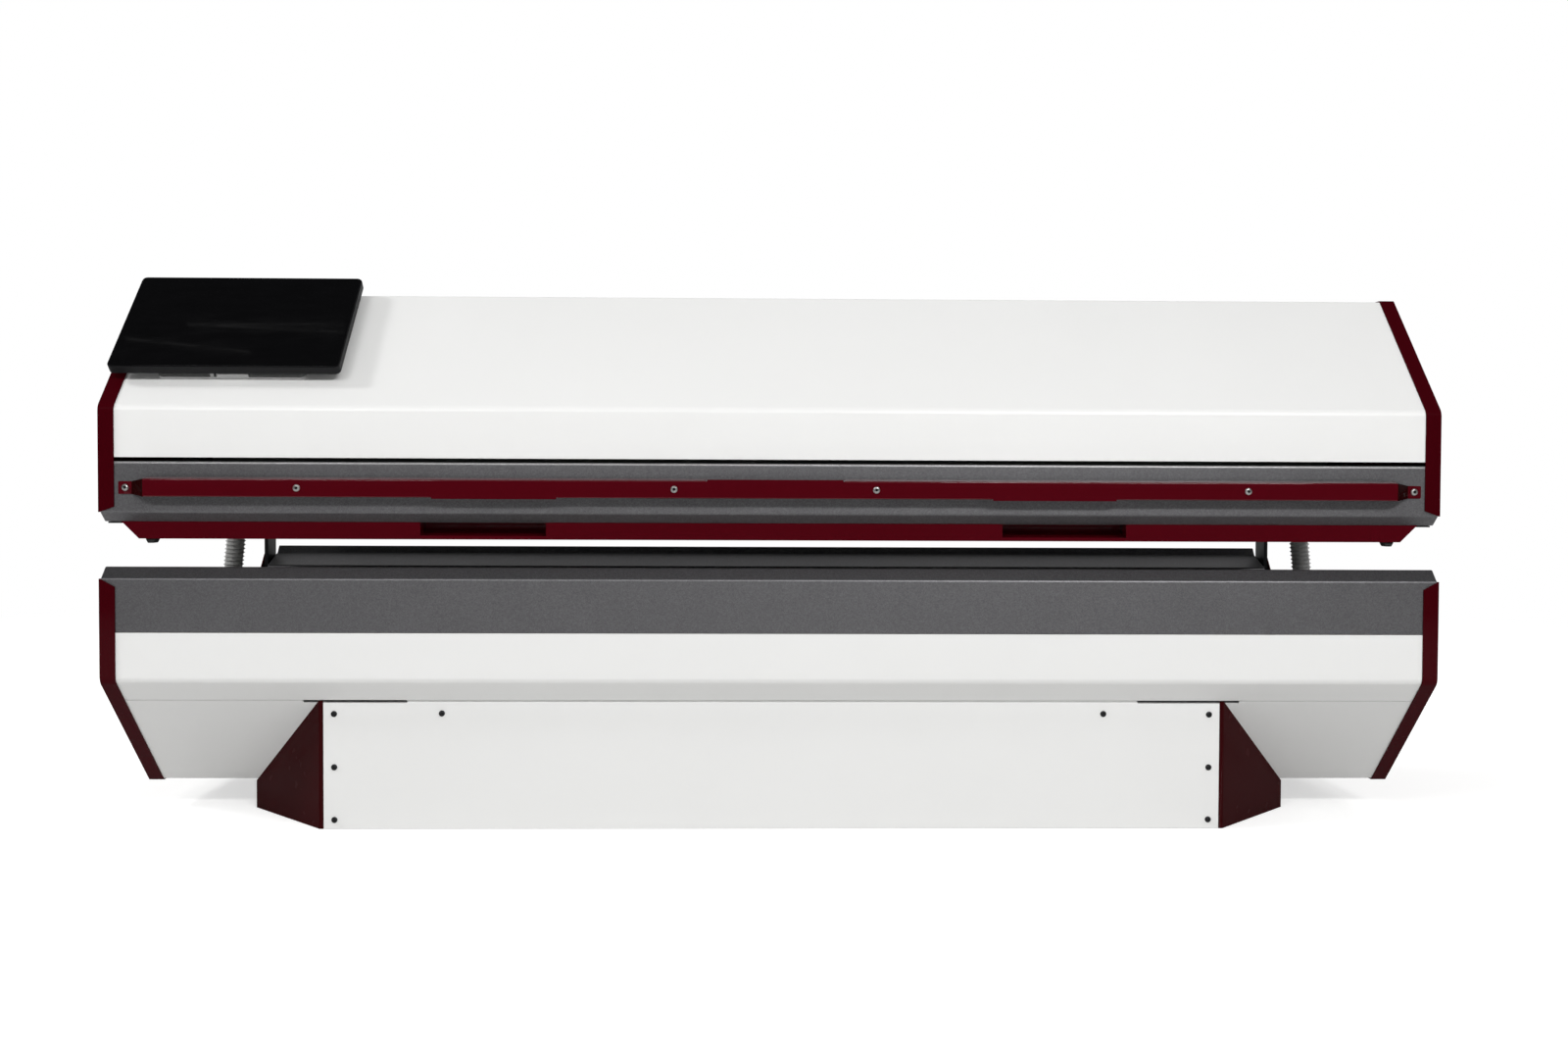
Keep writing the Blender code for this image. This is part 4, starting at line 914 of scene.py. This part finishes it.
class BED_OT_light_trays(bpy.types.Operator):
    """Finishes the trays, boards, decks, boxes and frame, and sets light emitters on the boards"""

    bl_idname = "bed.light_trays"
    bl_label = "Light trays"

    # Where the person lies, which the boards look at, and the bare margin of a board
    BODY_ROOM = Vector((0.0, 0.0, 0.55))
    MARGIN = 0.014
    # An emitter: height in widths, rings of package and lens in half widths and heights, top of the lens
    PACKAGE_HEIGHT = 0.2
    PACKAGE_RINGS = ((1.0, 0.0), (1.0, 0.8), (0.88, 1.0))
    LENS_RINGS = ((0.72, 1.0), (0.62, 1.6), (0.34, 2.05))
    LENS_TOP = 2.2
    LENS_SIDES = 8
    CORNERS = ((-1, -1), (1, -1), (1, 1), (-1, 1))

    def execute(self, context):
        sizes = context.scene.bed_sizes
        for body in ("base", "canopy"):
            places = []
            for word in ("front", "centre", "rear"):
                node = body + "_led_" + word
                repaint(node)
                places += self.emitter_places(node, sizes.emitter_pitch)
            self.emitters(body + "_emitters", places, sizes.emitter_width, body)
            repaint(body + "_led_tray")
        for word, _ in SIDES:
            for node in ("base_deck_" + word, "canopy_deck_" + word):
                roll_node(node, radius=0.004, sheet=sizes.sheet, edge=sizes.sheet_edge, shortest=0.1)
            ease_node("driver_box_" + word, size=0.0025, segments=3)
        ease_node("control_box", size=0.004, segments=3)
        ease_node("pedestal_frame", size=0.003, segments=3)
        return {"FINISHED"}

    def emitter_places(self, node, pitch):
        """Places in rows on the face of a board that looks at the person."""
        mesh = frame["nodes"][node].data
        low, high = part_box(node)
        toward = self.BODY_ROOM - (low + high) / 2
        toward.x = 0.0
        face = max(mesh.polygons, key=lambda part: part.area * (1 if part.normal.dot(toward) > 0 else 0))
        out = face.normal.copy()
        across = out.cross(ALONG)
        centre = (low + high) / 2
        level = max(vert.co.dot(out) for vert in mesh.vertices) - centre.dot(out)
        half = max((vert.co - centre).dot(across) for vert in mesh.vertices) - self.MARGIN
        rows = int(2 * half / pitch) + 1
        columns = int((high.x - low.x - 2 * self.MARGIN) / pitch) + 1
        places = []
        for i in range(columns):
            for j in range(rows):
                point = centre + out * level + across * (j - (rows - 1) / 2) * pitch
                point.x += (i - (columns - 1) / 2) * pitch
                places.append((point, out, across))
        return places

    def emitters(self, name, places, width, body):
        """Square packages with a domed lens, all in one piece."""
        half = width / 2
        tall = self.PACKAGE_HEIGHT * width
        circle = [(math.cos(angle), math.sin(angle)) for angle in turns(self.LENS_SIDES)]
        stacks = ((self.PACKAGE_RINGS, self.CORNERS, None), (self.LENS_RINGS, circle, self.LENS_TOP))
        points, faces, lens = [], [], []
        for centre, out, across in places:
            for rings, spokes, top in stacks:
                start = len(points)
                count = len(spokes)
                for reach, height in rings:
                    for a, b in spokes:
                        spoke = ALONG * a + across * b
                        points.append(centre + spoke * (reach * half) + out * (height * tall))
                last = len(points) - count
                for low in range(start, last, count):
                    for k in range(count):
                        n = (k + 1) % count
                        faces.append((low + k, low + n, low + count + n, low + count + k))
                if top:
                    points.append(centre + out * (top * tall))
                    faces += [(last + k, last + (k + 1) % count, last + count) for k in range(count)]
                else:
                    faces.append(tuple(range(last, last + count)))
                lens += [int(top is not None)] * (len(faces) - len(lens))
        mesh = bpy.data.meshes.new(name)
        mesh.from_pydata(points, [], faces)
        mesh.polygons.foreach_set("material_index", lens)
        mesh.polygons.foreach_set("use_smooth", [part == 1 for part in lens])
        mesh.materials.append(FINISHES["package"])
        mesh.materials.append(FINISHES["lens"])
        mesh.update()
        item = placed(name, mesh)
        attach(item, body)


class BED_OT_clear_sheets(bpy.types.Operator):
    """Smooths and polishes the clear lying surface and the clear canopy cover"""

    bl_idname = "bed.clear_sheets"
    bl_label = "Clear sheets"

    # Radius of the folds, and thickness
    SHEETS = (("acrylic_bed", 0.010, 0.008), ("canopy_cover", 0.012, 0.005))

    def execute(self, context):
        for node, radius, sheet in self.SHEETS:
            roll_node(node, radius, sheet, edge=0.0008, shortest=0.2, segments=4)
        return {"FINISHED"}


class BED_OT_tablet(bpy.types.Operator):
    """Finishes the tablet, its glass and its bracket"""

    bl_idname = "bed.tablet"
    bl_label = "Tablet"

    EDGES = (("tablet_body", 0.0012), ("tablet_glass", 0.0005), ("tablet_mount", 0.0008))
    # Middle of the axle, and the corners of its cover from there, square to the glass
    AXLE = (-0.9255, -0.40108, 0.779273)
    COVER = ((-0.0180, -0.0107, -0.0106), (0.0355, -0.0083, -0.0006))

    def execute(self, context):
        for node, size in self.EDGES:
            ease_node(node, size, segments=3)
        sheet = max(frame["nodes"]["tablet_glass"].data.polygons, key=lambda face: face.area)
        out = sheet.normal if sheet.normal.z > 0 else -sheet.normal
        turn = Matrix((ALONG, Vector((0.0, out.z, -out.y)), out)).transposed().to_4x4()
        work = bmesh.new()
        slab(work, *self.COVER)
        ease_edges(work, size=0.0008, segments=3)
        work.transform(Matrix.Translation(self.AXLE) @ turn)
        piece("tablet_hinge_cover", work, ["bracket_plastic"], "canopy")
        return {"FINISHED"}


class BED_OT_fans(bpy.types.Operator):
    """Finishes the fans under the canopy top"""

    bl_idname = "bed.fans"
    bl_label = "Fans"

    def execute(self, context):
        for word, _ in SIDES:
            ease_node("fan_frame_" + word, size=0.0006)
            repaint("fan_rotor_" + word)
        return {"FINISHED"}


class BED_OT_inlet(bpy.types.Operator):
    """Finishes the mains inlet and its rocker, and adds the pins and the switch marks"""

    bl_idname = "bed.inlet"
    bl_label = "Mains inlet"

    # The socket's middle across and up, its pins from there, and their half widths and ends
    SOCKET = (0.619, 0.298)
    PIN_PLACES = ((-0.007, -0.0025), (0.0, 0.0025), (0.007, -0.0025))
    PIN_HALF = (0.001, 0.002)
    PIN_ENDS = (0.428, 0.4425)
    # Half height of the rocker, and how far its middle lies in from its ends
    ROCKER_HALF = 0.0105
    ROCKER_FALL = 0.0015
    # The marks: distance from the rocker's middle, half size of the bar, radii of the ring, half thickness
    MARK_RISE = 0.0055
    BAR = (0.0006, 0.0022)
    RING = (0.0024, 0.0015)
    RING_SIDES = 24
    INK = 0.0002

    def execute(self, context):
        ease_node("power_inlet", size=0.0006)
        ease_node("rocker_switch", size=0.0006, angle=BLUNT_ANGLE)
        self.pins()
        self.marks()
        return {"FINISHED"}

    def pins(self):
        """The flat pins in the socket."""
        wide, tall = self.PIN_HALF
        root, tip = self.PIN_ENDS
        work = bmesh.new()
        for step, rise in self.PIN_PLACES:
            x, z = self.SOCKET[0] + step, self.SOCKET[1] + rise
            slab(work, (x - wide, root, z - tall), (x + wide, tip, z + tall))
        ease_edges(work, size=0.0005)
        piece("inlet_pins", work, ["pin_steel"], "base")

    def marks(self):
        """A bar and a ring on the two halves of the rocker."""
        low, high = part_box("rocker_switch")
        x, z = (low.x + high.x) / 2, (low.z + high.z) / 2
        wide, tall = self.BAR
        bar = [(-wide, -tall), (wide, -tall), (wide, tall), (-wide, tall)]
        outer, inner = [[(radius * math.cos(a), radius * math.sin(a)) for a in turns(self.RING_SIDES)]
                        for radius in self.RING]
        work = bmesh.new()
        self.mark(work, bar, None, (x, high.y, z + self.MARK_RISE))
        self.mark(work, outer, inner, (x, high.y, z - self.MARK_RISE))
        piece("switch_marks", work, ["mark"], "switch")

    def mark(self, work, outer, inner, place):
        """A thin printed shape on the sloping half of the rocker."""
        x, crown, z = place
        middle = self.SOCKET[1]
        slope = self.ROCKER_FALL / self.ROCKER_HALF * (1 if z > middle else -1)
        fall = self.ROCKER_FALL * (1 - abs(z - middle) / self.ROCKER_HALF)

        def ring(points, lift):
            return [(x + u, crown - fall + slope * v + lift, z + v) for u, v in points]

        rows = [ring(outer, -self.INK), ring(outer, self.INK)]
        if inner:
            rows += [ring(inner, self.INK), ring(inner, -self.INK)]
        ring_rows(work, rows, closed=bool(inner))


class BED_OT_screws(bpy.types.Operator):
    """Adds the screws of the pedestal panels, the grab strip and the fans"""

    bl_idname = "bed.screws"
    bl_label = "Screws"

    # Places on a pedestal panel across and up, on the strip's face across, and round a fan's middle
    PANEL_PLACES = ((0.7475, 0.1965), (0.7475, 0.1055), (0.7475, 0.0155), (0.565, 0.1975))
    STRIP_X = (-0.790, -0.168, 0.168, 0.790)
    FAN_SPACING = 0.0525
    # The strip's end tabs: how far they stand before the rim, and their middle from the ends
    TAB_PROUD = 0.0023
    TAB_MIDDLE = 0.0115
    FORWARD = (0.0, -1.0, 0.0)
    UPWARD = (0.0, 0.0, 1.0)

    def execute(self, context):
        sizes = context.scene.bed_sizes
        places = []
        for node, turn in (("pedestal_front_panel", -1), ("pedestal_rear_panel", 1)):
            low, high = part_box(node)
            y = low.y if turn < 0 else high.y
            for x, z in self.PANEL_PLACES:
                places += [((side * x, y, z), (0.0, turn, 0.0)) for _, side in SIDES]
        screw_heads("pedestal_screws", places, sizes.panel_screw, "black_screw", "base")

        low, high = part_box("grab_strip")
        z = (low.z + high.z) / 2
        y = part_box("canopy_front_rim")[0].y - self.TAB_PROUD
        places = [((x, low.y, z), self.FORWARD) for x in self.STRIP_X]
        places += [((side * (high.x - self.TAB_MIDDLE), y, z), self.FORWARD) for _, side in SIDES]
        screw_heads("strip_screws", places, sizes.strip_screw, "pin_steel", "canopy")

        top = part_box("canopy_shell")[1].z
        places = []
        for word, _ in SIDES:
            low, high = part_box("fan_frame_" + word)
            x, y = (low.x + high.x) / 2, (low.y + high.y) / 2
            for a in (-1, 1):
                for b in (-1, 1):
                    spot = (x + a * self.FAN_SPACING, y + b * self.FAN_SPACING, top)
                    places.append((spot, self.UPWARD))
        screw_heads("fan_screws", places, sizes.fan_screw, "black_screw", "canopy")
        return {"FINISHED"}


class BED_OT_stage(bpy.types.Operator):
    """Sets the camera, the pale floor and the soft studio light"""

    bl_idname = "bed.stage"
    bl_label = "Studio"

    # The camera: place, lens in millimetres, and turns
    CAMERA = (-0.039, -3.050, 0.5955)
    LENS = 35.62
    YAW = math.radians(1.189)
    PITCH = math.radians(1.565)
    ROLL = math.radians(-0.221)
    # The room: its light, what gloss mirrors of it, and where its back and its ceiling begin and end
    AMBIENT = 0.29
    BLACK = (0.0, 0.0, 0.0)
    WHITE = (1.0, 1.0, 1.0)
    FRONT_OF_ROOM = (0.04, 0.04, 0.04)
    CEILING = (0.05, 0.05, 0.05)
    BACK = (0.35, 0.75)
    HIGH = (0.42, 0.80)
    # The floor: tints, where gloss starts to mirror it, where it fades, and its drop under the bed
    PAPER = ((0.66, 0.66, 0.655), (0.69, 0.69, 0.685))
    MIRRORED = (0.0, 1.5)
    FADE = (2.0, 5.0)
    DROP = 0.0005
    # Softboxes: name, place, width and height, power, and whether gloss mirrors them
    TARGET = (0.0, 0.0, 0.55)
    FRONT_SOFTBOXES = (
        ("key_softbox", (0.3, -4.1, 2.50), (3.6, 0.8), 24.0, True),
        ("left_strip", (-1.95, -4.0, 2.62), (1.2, 0.30), 36.0, True),
        ("right_strip", (1.55, -4.0, 2.62), (1.6, 0.30), 75.0, True),
        ("overhead_softbox", (0.0, -1.9, 3.7), (3.0, 0.8), 3.0, True),
        ("left_softbox", (-4.9, -1.65, 3.55), (0.8, 0.8), 84.0, False))
    REAR_SOFTBOXES = (
        ("rear_left_softbox", (-3.4, 2.8, 2.2), (1.4, 1.4), 66.0, False),
        ("rear_right_softbox", (3.4, 2.8, 2.2), (1.4, 1.4), 66.0, False))
    # Ceiling tubes: place, turn in degrees and length, then the width and glow of them all
    CEILING_TUBES = (
        ((-1.60, -0.199, 3.2), 0.5, 0.50),
        ((-1.60, -0.211, 3.2), -2.6, 0.50),
        ((-1.85, -0.267, 3.2), -5.9, 0.40))
    TUBE_WIDTH = 0.005
    TUBE_GLOW = 0.5

    def execute(self, context):
        self.camera(context.scene)
        self.floor()
        self.world(context.scene)
        for row in self.FRONT_SOFTBOXES:
            self.softbox(*row)
        for row in self.CEILING_TUBES:
            self.tube(*row)
        for row in self.REAR_SOFTBOXES:
            self.softbox(*row)
        context.scene.view_settings.view_transform = "Standard"
        return {"FINISHED"}

    def camera(self, scene):
        """The photograph's viewpoint."""
        data = bpy.data.cameras.new("camera")
        data.lens = self.LENS
        data.sensor_width = 36.0
        data.clip_end = 100.0
        item = placed("camera", data)
        turn = Matrix.Rotation(-self.YAW, 4, "Z") @ Matrix.Rotation(math.pi / 2 - self.PITCH, 4, "X")
        item.matrix_world = Matrix.Translation(self.CAMERA) @ turn @ Matrix.Rotation(-self.ROLL, 4, "Z")
        scene.camera = item

    def floor(self):
        """A pale floor that shows as near white and keeps the shadow."""
        work = bmesh.new()
        bmesh.ops.create_circle(work, cap_ends=True, segments=64, radius=5.4)
        item = piece("floor", work, [], None, smooth=False)
        item.location.z = -self.DROP
        finish = Finish("floor_paper", {"Specular IOR Level": 0.0, "Emission Strength": 0.56})
        behind = finish.spread(finish.part(finish.place(), "Y"), *self.MIRRORED, "SMOOTHSTEP")
        seen = self.seen(finish, behind)
        fibre = finish.noise(40.0, 3.0)
        finish.wear(
            Base_Color=finish.mix(fibre, *self.PAPER),
            Roughness=0.9 + 0.05 * fibre,
            Emission_Color=finish.mix(seen, self.BLACK, self.WHITE))
        away = finish.node("ShaderNodeVectorMath", {"operation": "LENGTH"}, {0: finish.place()}, "Value")
        glow = finish.node("ShaderNodeEmission", {}, {"Color": self.WHITE, "Strength": 1.0})
        plain = Channel(finish, finish.shader.outputs[0])
        far = finish.spread(away, *self.FADE, "SMOOTHSTEP")
        blend = finish.node("ShaderNodeMixShader", {}, {0: far * seen, 1: plain, 2: glow})
        finish.put(finish.tree.nodes["Material Output"].inputs["Surface"], blend)
        item.data.materials.append(finish.material)

    @staticmethod
    def seen(finish, mirrored):
        """One for rays of the camera and through clear pieces, and a share of those that gloss mirrors."""
        kind = "ShaderNodeLightPath"
        camera = finish.node(kind, output="Is Camera Ray")
        gloss = finish.node(kind, output="Is Glossy Ray")
        through = finish.node(kind, output="Is Transmission Ray")
        return camera.at_least(gloss * mirrored).at_least(through)

    def world(self, scene):
        """A white room with a darker ceiling; it lights the bed at a plain level."""
        scene.world = bpy.data.worlds.new("studio")
        finish = Finish("studio", {}, scene.world)
        finish.tree.nodes.remove(finish.tree.nodes["Background"])
        seen = self.seen(finish, 1.0)
        ray = finish.node("ShaderNodeTexCoord", output="Generated")
        back = finish.spread(finish.part(ray, "Y"), *self.BACK)
        high = finish.spread(finish.part(ray, "Z"), *self.HIGH)
        room = finish.mix(back, self.FRONT_OF_ROOM, self.WHITE)
        room = finish.mix(high, room, self.CEILING)
        gloss = finish.node("ShaderNodeLightPath", output="Is Glossy Ray")
        room = finish.mix(gloss, self.WHITE, room)
        shown = finish.node("ShaderNodeBackground", {}, {"Color": room, "Strength": 1.0})
        level = (self.AMBIENT, self.AMBIENT, self.AMBIENT)
        light = finish.node("ShaderNodeBackground", {}, {"Color": level, "Strength": 1.0})
        both = finish.node("ShaderNodeMixShader", {}, {0: seen, 1: light, 2: shown})
        finish.put(finish.tree.nodes["World Output"].inputs["Surface"], both)

    @staticmethod
    def lamp(name, point, size, power):
        """A rectangular lamp that the camera doesn't see."""
        data = bpy.data.lights.new(name, "AREA")
        data.shape = "RECTANGLE"
        data.size, data.size_y = size
        data.energy = power
        item = placed(name, data)
        item.location = point
        item.visible_camera = False
        return item

    def softbox(self, name, point, size, power, mirrored):
        """A lamp that looks at the bed; one that isn't mirrored shows in no gloss."""
        item = self.lamp(name, point, size, power)
        item.rotation_euler = (Vector(self.TARGET) - Vector(point)).to_track_quat("-Z", "Y").to_euler()
        item.visible_glossy = mirrored

    def tube(self, point, turn, long):
        """A dim tube under the ceiling that only shows as a reflection."""
        power = self.TUBE_GLOW * math.pi * long * self.TUBE_WIDTH
        item = self.lamp("ceiling_tube", point, (long, self.TUBE_WIDTH), power)
        item.rotation_euler.z = math.radians(turn)


class BED_PT_pieces(bpy.types.Panel):
    """Shows the bed's colours and sizes and a button for each step"""

    bl_label = "Light therapy bed"
    bl_idname = "BED_PT_pieces"
    bl_space_type = "VIEW_3D"
    bl_region_type = "UI"
    bl_category = "Light Bed"

    def draw(self, context):
        layout = self.layout
        for group in (context.scene.bed_colours, context.scene.bed_sizes):
            box = layout.box()
            for name in group.bl_rna.properties.keys():
                if name not in ("rna_type", "name"):
                    box.prop(group, name)
        for step in STEPS:
            layout.operator(step.bl_idname)


STEPS = (
    BED_OT_white_panels, BED_OT_red_ends, BED_OT_grey_rims, BED_OT_rails, BED_OT_hinges, BED_OT_hoses,
    BED_OT_light_trays, BED_OT_clear_sheets, BED_OT_tablet, BED_OT_fans, BED_OT_inlet, BED_OT_screws,
    BED_OT_stage)
CLASSES = (BedColours, BedSizes) + STEPS + (BED_PT_pieces,)


def register():
    """Adds the classes and the scene's settings."""
    for kind in CLASSES:
        bpy.utils.register_class(kind)
    bpy.types.Scene.bed_colours = PointerProperty(type=BedColours)
    bpy.types.Scene.bed_sizes = PointerProperty(type=BedSizes)


def unregister():
    """Takes them out again."""
    del bpy.types.Scene.bed_sizes
    del bpy.types.Scene.bed_colours
    for kind in reversed(CLASSES):
        bpy.utils.unregister_class(kind)


def main():
    """Builds the bed and its studio."""
    register()
    make_finishes(bpy.context.scene.bed_colours)
    bpy.ops.bed.white_panels()
    bpy.ops.bed.red_ends()
    bpy.ops.bed.grey_rims()
    bpy.ops.bed.rails()
    bpy.ops.bed.hinges()
    bpy.ops.bed.hoses()
    bpy.ops.bed.light_trays()
    bpy.ops.bed.clear_sheets()
    bpy.ops.bed.tablet()
    bpy.ops.bed.fans()
    bpy.ops.bed.inlet()
    bpy.ops.bed.screws()
    bpy.ops.bed.stage()


if __name__ == "__main__":
    main()
